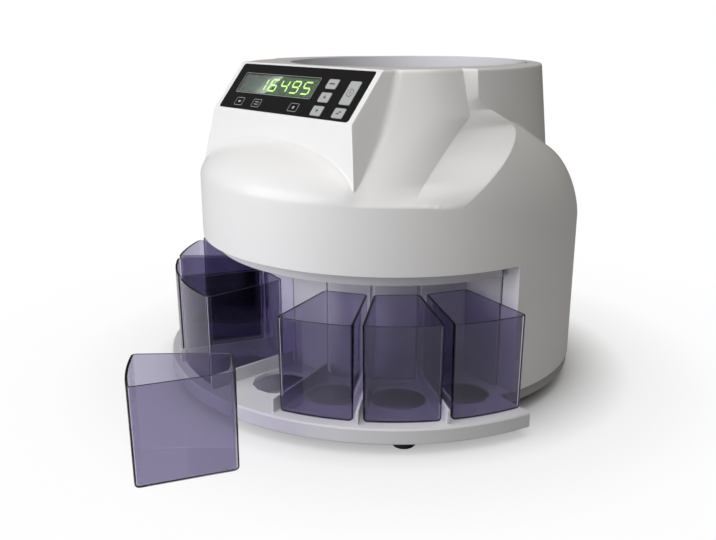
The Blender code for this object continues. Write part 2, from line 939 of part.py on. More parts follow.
def make_chutes():
    """Ring with one slanting shaft for each cup."""
    half_angle = (slot_pitch * slot_count / 2 + core_half_angle) / 2
    points = arc(chute_outer_radius, half_angle) + arc(core_radius + 2 * gap, half_angle)[::-1]
    outline = [(point.x, point.y) for point in points]
    ring = prism("chute_ring", outline, chute_bottom, deck_bottom - gap)
    for number in range(slot_count):
        mouth = (chute_mouth_inner_radius, chute_mouth_outer_radius, chute_inner_width, chute_outer_width)
        throat = (window_inner_radius, chute_reach_radius, chute_inner_width, chute_outer_width)
        cut(ring, slot_shaft("chute_" + str(number), number, mouth, throat,
                             chute_bottom - overrun, deck_bottom + overrun))
    return finish(ring, "white")


def make_core():
    """Curved wall behind the cups with a straight return at each end."""
    low = base_top + gap
    high = deck_bottom - gap
    right_end = polar(core_return_radius, core_half_angle)
    left_end = polar(core_return_radius, -core_half_angle)
    right_step = polar(core_wall_thickness, core_half_angle + math.pi / 2)
    left_step = polar(core_wall_thickness, -core_half_angle - math.pi / 2)
    back = arc(core_radius - core_wall_thickness, core_half_angle)[::-1]
    back[0] += right_step
    back[-1] += left_step
    points = [left_end] + arc(core_radius, core_half_angle) + [right_end, right_end + right_step]
    points += back + [left_end + left_step]
    core = prism("core_wall", [(point.x, point.y) for point in points], low, high)
    for number in range(slot_count - 1):
        groove = block("core_seam_" + str(number), (-seam_width / 2, -core_radius - overrun, low - overrun),
                       (seam_width / 2, -core_radius + seam_depth, chute_bottom - overrun))
        cut(core, place(groove, turn=slot_angle(number) - slot_pitch / 2))
    return finish(core, "light_grey")


# Base tray

def base_outline(front, rear, half_angle):
    """Fan in front and a smaller circle behind."""
    points = arc(front, half_angle)
    for i in range(fan_steps + 1):
        points.append(polar(rear, half_angle + (math.tau - 2 * half_angle) * i / fan_steps))
    return [(point.x, point.y) for point in points]


def foot_places():
    front = [polar(front_foot_radius, front_foot_angle * side) for side in (-1, 1)]
    rear = [polar(rear_foot_radius, rear_foot_angle * side) for side in (-1, 1)]
    return front + rear


def board_corners():
    half_x = main_board_width / 2 - standoff_inset
    half_y = main_board_depth / 2 - standoff_inset
    return [(main_board_x + half_x * i, main_board_y + half_y * j) for i in (-1, 1) for j in (-1, 1)]


def screw_seat():
    """Height of the step that a screw's head pulls against."""
    return base_top - rear_base_depth + screw_recess


def screw_way(name, spot):
    """Stepped hole for a screw and its head."""
    head = screw_head_radius + gap
    way = screw_radius + gap
    low = base_bottom - overrun
    high = base_top + overrun
    profile = [(0, low), (head, low), (head, screw_seat()), (way, screw_seat()), (way, high), (0, high)]
    return turned(name, profile, small_sides, (spot.x, spot.y))


def make_base():
    outline = base_outline(tray_radius, rear_base_radius, tray_half_angle)
    tray = prism("base_tray", outline, base_bottom, base_top)
    bevel(tray, tray_bevel)
    rear_low = base_top - rear_base_depth
    step_half_angle = math.pi - tray_half_angle - base_wall / rear_base_radius
    step = sector("rear_step", tray_radius + overrun, step_half_angle, base_bottom - overrun, rear_low)
    cut(tray, place(step, turn=math.pi))
    pocket = base_outline(tray_radius - base_wall, rear_base_radius - base_wall,
                          tray_half_angle - base_wall / tray_radius)
    low = base_bottom - overrun
    cut(tray, prism("tray_pocket", pocket, low, base_top - base_top_thickness))
    for number, spot in enumerate(foot_places()):
        join(tray, post("foot_boss_" + str(number), foot_boss_radius, base_bottom,
                        base_top - gap, (spot.x, spot.y)))
    for number in range(slot_count):
        spot = polar(hole_place_radius, slot_angle(number))
        cut(tray, post("tray_hole_" + str(number), hole_radius, low, base_top + overrun, (spot.x, spot.y)))
    for number in range(1, slot_count):
        rib = block("rib_" + str(number), (-rib_thickness / 2, -rib_outer_radius, base_top - gap),
                    (rib_thickness / 2, -rib_inner_radius, base_top + rib_height))
        join(tray, place(rib, turn=slot_angle(number) + slot_pitch / 2))
    for number, spot in enumerate(board_corners()):
        join(tray, post("standoff_" + str(number), standoff_radius, base_top - gap,
                        base_top + main_board_lift, spot))
    for number, spot in enumerate(screw_places()):
        join(tray, post("screw_pad_" + str(number), screw_pad_radius, rear_low + gap,
                        base_top - gap, (spot.x, spot.y)))
    for number, spot in enumerate(screw_places()):
        boolean(tray, screw_way("screw_way_" + str(number), spot), "DIFFERENCE", "MANIFOLD")
    return finish(tray, "light_grey")


def make_feet():
    for number, spot in enumerate(foot_places()):
        foot = [(0, 0), (foot_radius - foot_bevel, 0), (foot_radius, foot_bevel),
                (foot_radius, foot_height), (0, foot_height)]
        finish(turned("foot_" + str(number + 1), foot, small_sides, (spot.x, spot.y)), "rubber")


def make_screws():
    for number, spot in enumerate(screw_places()):
        seat = screw_seat() - gap
        tip = cover_bottom + screw_length - overrun
        screw = [(0, seat - screw_head), (screw_head_radius, seat - screw_head), (screw_head_radius, seat),
                 (screw_radius, seat), (screw_radius, tip), (0, tip)]
        finish(turned("cover_screw_" + str(number + 1), screw, small_sides, (spot.x, spot.y)), "steel")


# Cups

def cup_outline(inset):
    """Plan of a cup that points towards the front, with round corners."""
    outer = cup_outer_radius - inset
    half_outer = cup_outer_width / 2
    lean = math.atan2(half_outer - cup_inner_width / 2, cup_outer_radius - cup_inner_radius)
    side = inset / math.cos(lean)
    near = cup_inner_radius + inset
    half_near = cup_inner_width / 2 + inset * math.tan(lean) - side
    reach = cup_outer_radius * math.cos(math.asin(half_outer / cup_outer_radius))
    half_far = half_near + (reach - inset - near) * math.tan(lean)
    corner = cup_corner - inset
    far_angle = math.asin(half_far / outer)
    points = []
    for x, y in ((-half_near, -near), (half_near, -near)):
        points += rounded((x, y), corner, x)
    arc = []
    for i in range(arc_steps + 1):
        angle = far_angle * (1 - corner / half_far) * (1 - 2 * i / arc_steps)
        arc.append((outer * math.sin(angle), -outer * math.cos(angle)))
    far_low = (half_far - corner * math.tan(lean), -(outer * math.cos(far_angle) - corner))
    far_high = (-far_low[0], far_low[1])
    middle = math.radians(45)
    swell = corner * (1 - math.cos(middle))
    bulge = (half_far - swell, -(outer * math.cos(far_angle) - swell))
    return points + [far_low, bulge] + arc + [(-bulge[0], bulge[1]), far_high]


def rounded(corner_point, radius, side):
    """Three points that round an inner corner of a cup."""
    x, y = corner_point
    swell = radius * (1 - math.cos(math.radians(45)))
    inward = -1 if side > 0 else 1
    along = (x + inward * radius, y)
    middle = (x + inward * swell, y - swell)
    down = (x, y - radius)
    if side > 0:
        return [along, middle, down]
    return [down, middle, along]


def cup_mesh(name):
    """Open cup about the body's axis, standing on height zero."""
    shape = bmesh.new()
    levels = ((0, 0), (0, cup_height), (cup_wall, cup_height), (cup_wall, cup_floor))
    rings = []
    for inset, height in levels:
        rings.append([shape.verts.new((x, y, height)) for x, y in cup_outline(inset)])
    for a, b in zip(rings, rings[1:]):
        for i in range(len(a)):
            j = (i + 1) % len(a)
            shape.faces.new((a[i], a[j], b[j], b[i]))
    shape.faces.new(list(reversed(rings[0])))
    shape.faces.new(rings[-1])
    return from_bmesh(name, shape)


def loose_cup_matrix():
    """Place of the cup that stands in front of the base, by the middle of its inner edge."""
    back = Matrix.Translation((0, cup_inner_radius, 0))
    turn = Matrix.Rotation(loose_cup_turn, 4, "Z")
    return Matrix.Translation((loose_cup_x, loose_cup_y, 0)) @ turn @ back


def make_cups():
    for number in range(slot_count):
        cup = cup_mesh("cup_" + str(number + 1))
        if number == loose_cup_slot:
            cup.matrix_world = loose_cup_matrix()
        else:
            place(cup, (0, 0, cup_bottom), slot_angle(number))
        finish(cup, "smoke")


# Panel, display and keys

def key_layout():
    """Name, place across, place up, height and finish of each key."""
    keys = [("key_outline_" + str(i + 1), x, outline_key_row, key_height, "black_gloss")
            for i, x in enumerate(outline_key_columns)]
    keys += [("key_grey_" + str(i + 1), grey_key_column, y, key_height, "key_grey")
             for i, y in enumerate(grey_key_rows)]
    keys.append(("key_grey_4", end_key_column, end_key_row, key_height, "key_grey"))
    keys.append(("key_start", end_key_column, tall_key_row, tall_key_height, "key_grey"))
    return keys


def make_panel():
    low = -panel_thickness
    panel = face_block("control_panel", panel_width, panel_height, low, 0)
    cut(panel, face_block("display_opening", display_width + 2 * gap, display_height + 2 * gap,
                          low - overrun, overrun, display_offset_x, display_offset_up))
    for name, across, up, height, color in key_layout():
        cut(panel, face_block(name + "_opening", key_width + 2 * gap, height + 2 * gap,
                              low - overrun, overrun, across, up))
        key = face_block(name, key_width, height, key_rise - key_thickness, key_rise, across, up)
        bevel(key, key_bevel)
        finish(key, color)
    finish(panel, "black_gloss")
    lens = face_block("display_window", display_width, display_height, -lens_thickness, 0,
                      display_offset_x, display_offset_up)
    finish(lens, "clear")
    module_low = -lens_thickness - gap - module_thickness
    module = face_block("display_module", display_width, display_height, module_low,
                        -lens_thickness - gap, display_offset_x, display_offset_up)
    finish(module, "black")
    board_high = -board_depth
    width = panel_width - 2 * (panel_window_border + board_border)
    height = panel_height - 2 * (panel_window_border + board_border) + board_top_cut
    board = face_block("display_board", width, height, board_high - board_thickness, board_high,
                       0, -board_top_cut / 2)
    riser = face_block("display_riser", display_width / 2, display_height / 2, board_high - gap,
                       module_low - gap, display_offset_x, display_offset_up)
    join(board, riser)
    finish(board, "board_green")


# Electronics in the core and behind it

def make_electronics():
    low = base_top + main_board_lift + gap
    board = standing_block("main_board", main_board_width, main_board_depth, board_thickness,
                           main_board_x, main_board_y, low)
    chip = standing_block("main_chip", main_chip_size, main_chip_size, main_chip_height,
                          main_board_x, main_board_y, low + board_thickness - gap)
    join(board, chip)
    finish(board, "board_green")
    supply = standing_block("power_supply", supply_width, supply_depth, supply_height,
                            supply_x, supply_y, base_top + gap)
    finish(bevel(supply, supply_bevel), "black")
    sensor = standing_block("sensor_board", sensor_board_width, sensor_board_depth, board_thickness,
                            sensor_board_x, 0, deck_bottom - gap - board_thickness)
    finish(sensor, "board_green")


def rear_middle():
    return (rear_window_low() + rear_window_high()) / 2


def rear_socket(name, width, height, depth, x, wall, pocket, color):
    """Flanged box through the rear panel, open towards the back."""
    middle = rear_middle()
    face = rear_panel_back + rear_panel_thickness + gap
    border = socket_flange_border
    body = block(name, (x - width / 2, face - depth, middle - height / 2),
                 (x + width / 2, face + socket_flange, middle + height / 2))
    flange = block(name + "_flange", (x - width / 2 - border, face, middle - height / 2 - border),
                   (x + width / 2 + border, face + socket_flange, middle + height / 2 + border))
    mouth = face + socket_flange
    hollow = block(name + "_hollow", (x - width / 2 + wall, mouth - pocket, middle - height / 2 + wall),
                   (x + width / 2 - wall, mouth + overrun, middle + height / 2 - wall))
    join(body, flange)
    cut(body, hollow)
    return finish(body, color)


def make_rocker():
    """Rocker with a shallow V in front, tilted so that its upper half is pressed in."""
    width = switch_width - 2 * switch_wall - 2 * rocker_side_gap
    outline = [(rocker_dip, rocker_half_height), (0, 0), (rocker_dip, -rocker_half_height),
               (-rocker_side, -rocker_half_height), (-rocker_depth, -rocker_back_half),
               (-rocker_depth, rocker_back_half), (-rocker_side, rocker_half_height)]
    loops = [[(x, out, up) for out, up in outline] for x in (-width / 2, width / 2)]
    rocker = loft("power_rocker", loops)
    face = rear_panel_back + rear_panel_thickness + gap + socket_flange
    rocker.location = (switch_x, face - rocker_pivot_depth, rear_middle())
    rocker.rotation_euler = (rocker_tilt, 0, 0)
    return finish(rocker, "black_gloss")


def make_rear():
    middle = rear_middle()
    half = rear_panel_width / 2
    low = base_top + gap
    panel_face = rear_panel_back + rear_panel_thickness
    panel = block("rear_panel", (-half, rear_panel_back, low), (half, panel_face, low + rear_panel_height))
    layout = (("power_inlet", inlet_width, inlet_height, inlet_depth, inlet_x, inlet_wall, inlet_pocket),
              ("power_switch", switch_width, switch_height, switch_depth, switch_x, switch_wall,
               switch_pocket),
              ("data_port", port_width, port_height, port_depth, port_x, port_wall, port_pocket))
    for name, width, height, depth, x, wall, pocket in layout:
        half_width = width / 2 + gap
        half_height = height / 2 + gap
        cut(panel, block(name + "_way", (x - half_width, rear_panel_back - overrun, middle - half_height),
                         (x + half_width, panel_face + overrun, middle + half_height)))
        rear_socket(name, width, height, depth, x, wall, pocket, "black")
    finish(panel, "light_grey")
    make_rocker()


def clear_scene():
    for made in list(bpy.data.objects):
        bpy.data.objects.remove(made)


def centre_plan():
    """Move everything along Y so that the plan's middle is at zero."""
    front = min((loose_cup_matrix() @ Vector((x, y, 0))).y for x, y in cup_outline(0))
    shift = -(front + body_radius) / 2
    for made in bpy.data.objects:
        made.location.y += shift


def main():
    clear_scene()
    make_cover()
    make_bowl()
    make_deck()
    make_rail()
    make_disc()
    make_drive()
    make_chutes()
    make_core()
    make_base()
    make_feet()
    make_screws()
    make_cups()
    make_panel()
    make_electronics()
    make_rear()
    centre_plan()


main()
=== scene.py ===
# %% [markdown]
# # A tabletop coin counter
#
# The real object is a white moulded housing on a fan-shaped base. Coins are
# poured into the open hopper on top, a disc inside sorts them by width, and
# they drop into eight smoky cups that stand round the foot. The exact solids
# come from the CAD model, which is loaded first and never moved. This script
# gives them finer skins, finishes, light and a camera.

# %% Load the exact model
import json
import math
import bpy
import bmesh
from mathutils import Matrix, Vector

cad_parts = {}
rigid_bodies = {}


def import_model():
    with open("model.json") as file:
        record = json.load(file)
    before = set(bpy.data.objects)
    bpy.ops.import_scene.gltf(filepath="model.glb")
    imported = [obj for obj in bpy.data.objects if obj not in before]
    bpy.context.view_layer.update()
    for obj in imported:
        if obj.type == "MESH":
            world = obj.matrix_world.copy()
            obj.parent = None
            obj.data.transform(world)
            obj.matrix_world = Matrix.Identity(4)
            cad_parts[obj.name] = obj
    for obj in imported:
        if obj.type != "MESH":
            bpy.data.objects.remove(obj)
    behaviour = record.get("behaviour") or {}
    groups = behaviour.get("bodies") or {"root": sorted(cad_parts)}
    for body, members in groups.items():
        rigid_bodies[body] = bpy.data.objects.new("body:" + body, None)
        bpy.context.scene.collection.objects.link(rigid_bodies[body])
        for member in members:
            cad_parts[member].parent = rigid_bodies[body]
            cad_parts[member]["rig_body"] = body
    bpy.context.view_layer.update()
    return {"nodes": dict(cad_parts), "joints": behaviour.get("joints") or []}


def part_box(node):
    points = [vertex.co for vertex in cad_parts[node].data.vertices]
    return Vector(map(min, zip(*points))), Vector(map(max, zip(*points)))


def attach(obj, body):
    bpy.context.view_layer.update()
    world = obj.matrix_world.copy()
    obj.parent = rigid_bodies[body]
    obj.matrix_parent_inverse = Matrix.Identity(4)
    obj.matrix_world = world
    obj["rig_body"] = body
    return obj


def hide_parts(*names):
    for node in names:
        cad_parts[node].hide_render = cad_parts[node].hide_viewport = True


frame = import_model()
nodes = frame["nodes"]
disc_joint = next(j for j in frame["joints"] if j["name"] == "disc_turn")
axis_y = disc_joint["pos_m"][1]
print("nodes", len(nodes), "body axis at y", round(axis_y, 5))

# %% [markdown]
# ## Helpers for modelling
#
# Operators act on whatever is selected, so each step first clears the
# selection. A finished piece keeps its object at the origin, with its place
# baked into its mesh, which keeps patterns on Object coordinates still.

# %% Selection and finishing helpers
def select_only(*things):
    """Make these objects the whole selection."""
    if bpy.context.mode != "OBJECT":
        bpy.ops.object.mode_set(mode="OBJECT")
    bpy.ops.object.select_all(action="DESELECT")
    for thing in things:
        thing.select_set(True)
    bpy.context.view_layer.objects.active = things[0]


def bake_place(piece):
    """Move the object's place into its mesh."""
    select_only(piece)
    bpy.ops.object.transform_apply(location=True, rotation=True, scale=True)
    return piece


def apply_all(piece):
    """Apply the piece's modifiers in order."""
    select_only(piece)
    for step in list(piece.modifiers):
        bpy.ops.object.modifier_apply(modifier=step.name)
    return piece


def smooth(piece, degrees=35):
    """Round shading with sharp creases, and large faces that stay flat."""
    select_only(piece)
    bpy.ops.object.shade_smooth_by_angle(angle=math.radians(degrees))
    step = piece.modifiers.new("large faces lead", "WEIGHTED_NORMAL")
    step.keep_sharp = True
    bpy.ops.object.modifier_apply(modifier=step.name)
    return piece


def add_bevel(piece, width, segments=2, degrees=35):
    step = piece.modifiers.new("soft edges", "BEVEL")
    step.width = width
    step.segments = segments
    step.limit_method = "ANGLE"
    step.angle_limit = math.radians(degrees)
    step.harden_normals = False
    return piece


print("helpers ready")

# %% [markdown]
# ## Finishes
#
# Every finish is made of nodes. Moulded plastic is never one flat value: its
# colour drifts a little, its gloss is uneven and its skin has a fine grain.
# Small helpers add those layers, and each finish only sets its own numbers.

# %% Helpers for all finishes
def new_finish(name):
    """New finish with its tree, its main shader and the place on the object."""
    made = bpy.data.materials.new(name)
    made.use_nodes = True
    tree = made.node_tree
    place = tree.nodes.new("ShaderNodeTexCoord")
    return made, tree, tree.nodes["Principled BSDF"], place.outputs["Object"]


def add_noise(tree, where, scale, detail=2.0):
    noise = tree.nodes.new("ShaderNodeTexNoise")
    noise.inputs["Scale"].default_value = scale
    noise.inputs["Detail"].default_value = detail
    tree.links.new(where, noise.inputs["Vector"])
    return noise.outputs["Fac"]


def add_tones(tree, value, shader, color, dark_share, low=0.0, high=1.0):
    """Let the colour vary with a value, from a darker tone to the full one."""
    tones = tree.nodes.new("ShaderNodeValToRGB")
    tones.color_ramp.elements[0].position = low
    tones.color_ramp.elements[1].position = high
    tones.color_ramp.elements[0].color = (*[c * dark_share for c in color], 1)
    tones.color_ramp.elements[1].color = (*color, 1)
    tree.links.new(value, tones.inputs["Fac"])
    tree.links.new(tones.outputs["Color"], shader.inputs["Base Color"])


def add_gloss(tree, value, shader, smoothest, roughest):
    """Let the roughness vary with a value, between two limits."""
    gloss = tree.nodes.new("ShaderNodeMapRange")
    gloss.inputs["To Min"].default_value = smoothest
    gloss.inputs["To Max"].default_value = roughest
    tree.links.new(value, gloss.inputs["Value"])
    tree.links.new(gloss.outputs["Result"], shader.inputs["Roughness"])


def blend_shaders(tree, share, first, second):
    """Send a mix of two shaders to the surface."""
    blend = tree.nodes.new("ShaderNodeMixShader")
    tree.links.new(share, blend.inputs["Fac"])
    tree.links.new(first, blend.inputs[1])
    tree.links.new(second, blend.inputs[2])
    tree.links.new(blend.outputs["Shader"], tree.nodes["Material Output"].inputs["Surface"])


print("helpers for finishes ready")

# %% Moulded finishes
def moulded(name, color, roughness, grain=0.0008, grain_scale=900.0, drift=0.03, coat=0.0):
    """Plastic with a slow drift of tone, an uneven gloss and a fine grain."""
    made, tree, shader, where = new_finish(name)
    slow = add_noise(tree, where, 9.0, 3.0)
    add_tones(tree, slow, shader, color, 1 - drift, 0.3, 0.7)
    add_gloss(tree, slow, shader, roughness * 0.85, roughness * 1.15)
    bump = tree.nodes.new("ShaderNodeBump")
    bump.inputs["Strength"].default_value = 0.25
    bump.inputs["Distance"].default_value = grain
    tree.links.new(add_noise(tree, where, grain_scale), bump.inputs["Height"])
    tree.links.new(bump.outputs["Normal"], shader.inputs["Normal"])
    shader.inputs["Coat Weight"].default_value = coat
    shader.inputs["Coat Roughness"].default_value = 0.08
    return made


white_plastic = moulded("glossy white moulding", (0.80, 0.80, 0.79), 0.40, 0.00002, 700.0, 0.01, 0.16)
grey_plastic = moulded("light grey moulding", (0.66, 0.665, 0.67), 0.45, 0.00004, 900.0)
lilac_plastic = moulded("lilac grey hopper", (0.71, 0.71, 0.755), 0.35, 0.00003, 900.0)
# The base band is the tray's moulding. Its darker grey is painted shade under the cover.
band_painted_shade = moulded("base band grey with painted shade", (0.36, 0.36, 0.355), 0.45, 0.00004, 900.0)
# The inner wall has the tray's light grey, set a little darker here as painted shade. The chutes share this
# finish.
core_plastic_painted_shade = moulded("grey inner wall with painted shade", (0.60, 0.60, 0.615), 0.30, 0.00003, 900.0)
black_gloss = moulded("glossy black overlay", (0.010, 0.010, 0.011), 0.16, 0.00001, 1200.0)
black_matt = moulded("matt black moulding", (0.022, 0.022, 0.024), 0.55, 0.00006, 1100.0)
key_plastic = moulded("soft grey key", (0.40, 0.41, 0.41), 0.50, 0.00003, 1400.0)
rubber = moulded("black rubber", (0.018, 0.018, 0.018), 0.85, 0.00008, 700.0)
print("moulded finishes", 9)

# %% [markdown]
# The cups are clear violet plastic. Light passes through the walls, so their
# edges look darker, because a sight line runs along the wall there. The main
# shader transmits with a tint. A path tracer's glass stops the light of lamps,
# so for shadow rays alone the wall is a tinted Transparent shader instead.

# %% Clear and metal finishes
def clear_plastic(name, color, roughness, passed):
    """See-through moulding with a faint haze, whose shadow is tinted."""
    made, tree, shader, where = new_finish(name)
    haze = add_noise(tree, where, 40.0, 4.0)
    add_tones(tree, haze, shader, color, 0.96)
    add_gloss(tree, haze, shader, roughness * 0.7, roughness * 1.3)
    shader.inputs["Transmission Weight"].default_value = 1.0
    shader.inputs["IOR"].default_value = 1.45
    through = tree.nodes.new("ShaderNodeBsdfTransparent")
    through.inputs["Color"].default_value = (*passed, 1)
    rays = tree.nodes.new("ShaderNodeLightPath")
    blend_shaders(tree, rays.outputs["Is Shadow Ray"], shader.outputs["BSDF"], through.outputs["BSDF"])
    return made


def metal(name, color, roughness, stretch=(1, 1, 1)):
    """Metal with fine drawn lines or a cast grain."""
    made, tree, shader, where = new_finish(name)
    stretched = tree.nodes.new("ShaderNodeMapping")
    stretched.inputs["Scale"].default_value = stretch
    tree.links.new(where, stretched.inputs["Vector"])
    grain = add_noise(tree, stretched.outputs["Vector"], 500.0)
    add_gloss(tree, grain, shader, roughness * 0.7, roughness * 1.4)
    add_tones(tree, grain, shader, color, 0.85)
    shader.inputs["Metallic"].default_value = 1.0
    return made


smoky_violet = clear_plastic("clear smoky violet", (0.50, 0.475, 0.60), 0.03, (0.80, 0.78, 0.84))
display_tint = clear_plastic("display window tint", (0.80, 0.86, 0.82), 0.04, (0.88, 0.92, 0.90))
steel = metal("plated steel", (0.62, 0.62, 0.63), 0.30, (1, 1, 0.05))
sheet_steel = metal("brushed sheet steel", (0.56, 0.57, 0.58), 0.38, (0.08, 1, 1))
cast_zinc = metal("cast zinc", (0.45, 0.46, 0.47), 0.55)
bronze = metal("sintered bronze", (0.66, 0.47, 0.22), 0.45)
circuit = moulded("green circuit board", (0.02, 0.13, 0.05), 0.40, 0.00005, 600.0, 0.3)
light_ink = moulded("light printing ink", (0.42, 0.43, 0.42), 0.6, 0.00001, 1500.0, 0.08)
dark_ink = moulded("dark printing ink", (0.05, 0.05, 0.055), 0.6, 0.00001, 1500.0, 0.08)
print("clear, metal and printed finishes", 9)

# %% [markdown]
# The display's back plate is dark green where the digits are and shades to a
# grey sheen on the left. That sheen is a painted reflection of the window, laid
# into the plate's colour. A colour ramp gives that. It runs along X and slants
# with the height. The lit segments give off a little light of their own.

# %% Display finishes
display_height = 0.2502
display_left, display_right = -0.0705, 0.0265
# Slant of the painted reflection's edge, which rises with the height.
painted_reflection_slant = 0.9


def display_plate():
    made = moulded("display back plate with painted reflection", (0.02, 0.05, 0.015), 0.25, 0.00001, 1500.0)
    tree = made.node_tree
    shader = tree.nodes["Principled BSDF"]
    place = tree.nodes.new("ShaderNodeTexCoord")
    split = tree.nodes.new("ShaderNodeSeparateXYZ")
    slant = tree.nodes.new("ShaderNodeMath")
    slant.operation = "MULTIPLY_ADD"
    slant.inputs[1].default_value = -painted_reflection_slant
    slant.inputs[2].default_value = painted_reflection_slant * display_height
    sheared = tree.nodes.new("ShaderNodeMath")
    sheared.operation = "ADD"
    across = tree.nodes.new("ShaderNodeMapRange")
    across.inputs["From Min"].default_value = display_left
    across.inputs["From Max"].default_value = display_right
    tones = tree.nodes.new("ShaderNodeValToRGB")
    ramp = tones.color_ramp
    ramp.elements[0].color = (0.012, 0.014, 0.014, 1)
    ramp.elements[1].color = (0.010, 0.034, 0.006, 1)
    # The grey stop at 0.44 and the rise towards it are a painted reflection of the window, not the plate's
    # own colour.
    for position, color in ((0.28, (0.060, 0.066, 0.063, 1)), (0.44, (0.36, 0.37, 0.34, 1)),
                            (0.47, (0.012, 0.040, 0.008, 1))):
        ramp.elements.new(position).color = color
    tree.links.new(place.outputs["Object"], split.inputs["Vector"])
    tree.links.new(split.outputs["Z"], slant.inputs[0])
    tree.links.new(split.outputs["X"], sheared.inputs[0])
    tree.links.new(slant.outputs["Value"], sheared.inputs[1])
    tree.links.new(sheared.outputs["Value"], across.inputs["Value"])
    tree.links.new(across.outputs["Result"], tones.inputs["Fac"])
    tree.links.new(tones.outputs["Color"], shader.inputs["Base Color"])
    return made


def lit_plastic():
    made = moulded("lit segment", (0.55, 0.80, 0.22), 0.4, 0.00001, 1500.0, 0.1)
    shader = made.node_tree.nodes["Principled BSDF"]
    shader.inputs["Emission Color"].default_value = (0.55, 0.85, 0.25, 1)
    shader.inputs["Emission Strength"].default_value = 0.40
    return made


plate_and_painted_reflection = display_plate()
lit_segment = lit_plastic()
print("display finishes", 2)

# %% [markdown]
# ## The outer cover
#
# The housing is one moulding: a round skirt, a dome in front, a scooped ramp
# on each side of the control housing, shoulders that fall towards the back and
# a drafted collar round the hopper. Such a form could be lofted from sections,
# but every section here is star-shaped seen from the body's axis. So a grid is
# wrapped round the axis, and each of its vertices is pushed out to the surface.
# The grid's columns and rows follow the edges of the form, which keeps them
# clean. These are the sizes that the surface needs, in metres.

# %% Sizes of the cover
body_radius = 0.164
rim_radius = 0.127
ramp_rim_radius = 0.122
ramp_scoop = 0.003
valley_offset = 0.1285
cover_wall = 0.003
cover_bottom = 0.0208
skirt_bottom = 0.1235
skirt_top = 0.174
rim_height = 0.266
crown = rim_height - skirt_top
face_half_width = 0.0875
face_top = 0.0910
face_foot = 0.1215
face_low = 0.2292
front_foot = 0.1847
front_lean = 0.0063
side_lean = 0.0090
face_tilt = math.atan2(rim_height - face_low, face_foot - face_top)
hopper_radius = 0.103
hopper_offset = 0.020
bay_turn = math.radians(83)
print("cover", round(2 * body_radius, 3), "m across,", rim_height, "m high")

# %% [markdown]
# Each stretch of the surface is a reach, which is the distance from the axis
# at a height. The dome and the shoulders are superellipses, because the real
# surfaces leave the upright wall gently and close quickly at the top.

# %% How far the cover reaches out
def collar_reach(z):
    return rim_radius + (rim_height - z) * math.tan(math.radians(6))


def ramp_reach(z):
    fall = min((rim_height - z) / crown, 1)
    return ramp_rim_radius + (body_radius - ramp_rim_radius) * fall - ramp_scoop * math.sin(math.pi * fall)


def dome_reach(z):
    low = body_radius * 0.545
    rise = min(max((z - skirt_top) / (crown * 0.478), 0), 1)
    return low + (body_radius - low) * (1 - rise ** 1.75) ** (1 / 1.75)


def shoulder_top(turn):
    across = math.cos(max(turn, math.radians(76)))
    return skirt_top + crown * (0.565 + 0.670 * across + 0.224 * across * across)


def shoulder_foot(turn):
    drop = math.cos(math.radians(65)) - math.cos(turn)
    return skirt_top - crown * 0.362 * max(drop, 0)


def side_reach(turn, z):
    top, foot = shoulder_top(turn), shoulder_foot(turn)
    if z >= top:
        return collar_reach(z)
    rise = max((z - foot) / (top - foot), 0)
    return collar_reach(top) + (body_radius - collar_reach(top)) * (1 - rise ** 1.65) ** (1 / 1.65)


def ease(value, low, high):
    share = min(max((value - low) / (high - low), 0), 1)
    return share * share * (3 - 2 * share)


print("reach of the collar at the rim", collar_reach(rim_height))

# %% [markdown]
# The control housing is a block cut by planes: the slanted face that carries
# the keys, a front that leans out below it, and two sides. Its corner, the
# foot of its side, the valley beside it and the ridge behind the ramp each
# have an angle at every height. The grid's columns run along these angles.

# %% Planes and edges of the control housing
def side_plane():
    top = Vector((face_half_width, -face_top, rim_height))
    middle = Vector((face_half_width, -face_foot, face_low))
    foot = Vector((face_half_width + side_lean, -face_foot - front_lean, front_foot))
    normal = (middle - top).cross(foot - middle).normalized()
    normal = normal if normal.x > 0 else -normal
    return normal, normal.dot(top)


side_normal, side_offset = side_plane()


def front_y(z):
    """How far in front of the axis the housing's face or front is."""
    if z >= face_low:
        return face_top + (face_foot - face_top) * (rim_height - z) / (rim_height - face_low)
    return face_foot + front_lean * (face_low - max(z, front_foot)) / (face_low - front_foot)


def side_at(turn, z):
    z = max(z, front_foot)
    flat = side_normal.x * math.sin(turn) - side_normal.y * math.cos(turn)
    return (side_offset - side_normal.z * z) / flat


def corner_turn(z):
    if z >= face_low:
        return math.atan2(face_half_width, front_y(z))
    share = (face_low - max(z, front_foot)) / (face_low - front_foot)
    return math.atan2(face_half_width + side_lean * share, front_y(z))


def side_foot_turn(z):
    """Angle at which the housing's side wall meets the ramp."""
    z = max(z, front_foot)
    low, high = corner_turn(z), corner_turn(z) + math.radians(25)
    if side_at(low, z) <= ramp_reach(z):
        return low + math.radians(0.6)
    for _ in range(30):
        middle = (low + high) / 2
        low, high = (middle, high) if side_at(middle, z) > ramp_reach(z) else (low, middle)
    return max(low, corner_turn(z) + math.radians(0.6))


def valley_turn(z):
    return min(math.asin(min(valley_offset / ramp_reach(z), 1)), math.radians(72.5))


def ridge_turn(z):
    start, high, crease = math.radians(65), skirt_top + crown * 0.543, skirt_top + crown * 0.770
    if z <= high:
        return start + math.radians(23) * max((z - skirt_top) / (high - skirt_top), 0)
    return math.radians(88) - math.radians(12) * min((z - high) / (crease - high), 1)


corner_turns = [corner_turn(z) for z in (front_foot, face_low, rim_height)]
print("corner turns in degrees", [round(math.degrees(turn), 1) for turn in corner_turns])

# %% The whole surface as one reach
valley_groove = 0.0035
groove_spread = math.radians(15)


def grooved_ramp(turn, z):
    """Ramp that sinks a little towards the valley beside it."""
    near = min(max(1 - (valley_turn(z) - turn) / groove_spread, 0), 1)
    rise = min(max((z - skirt_top) / 0.014, 0), 1)
    return ramp_reach(z) - valley_groove * rise * near * near


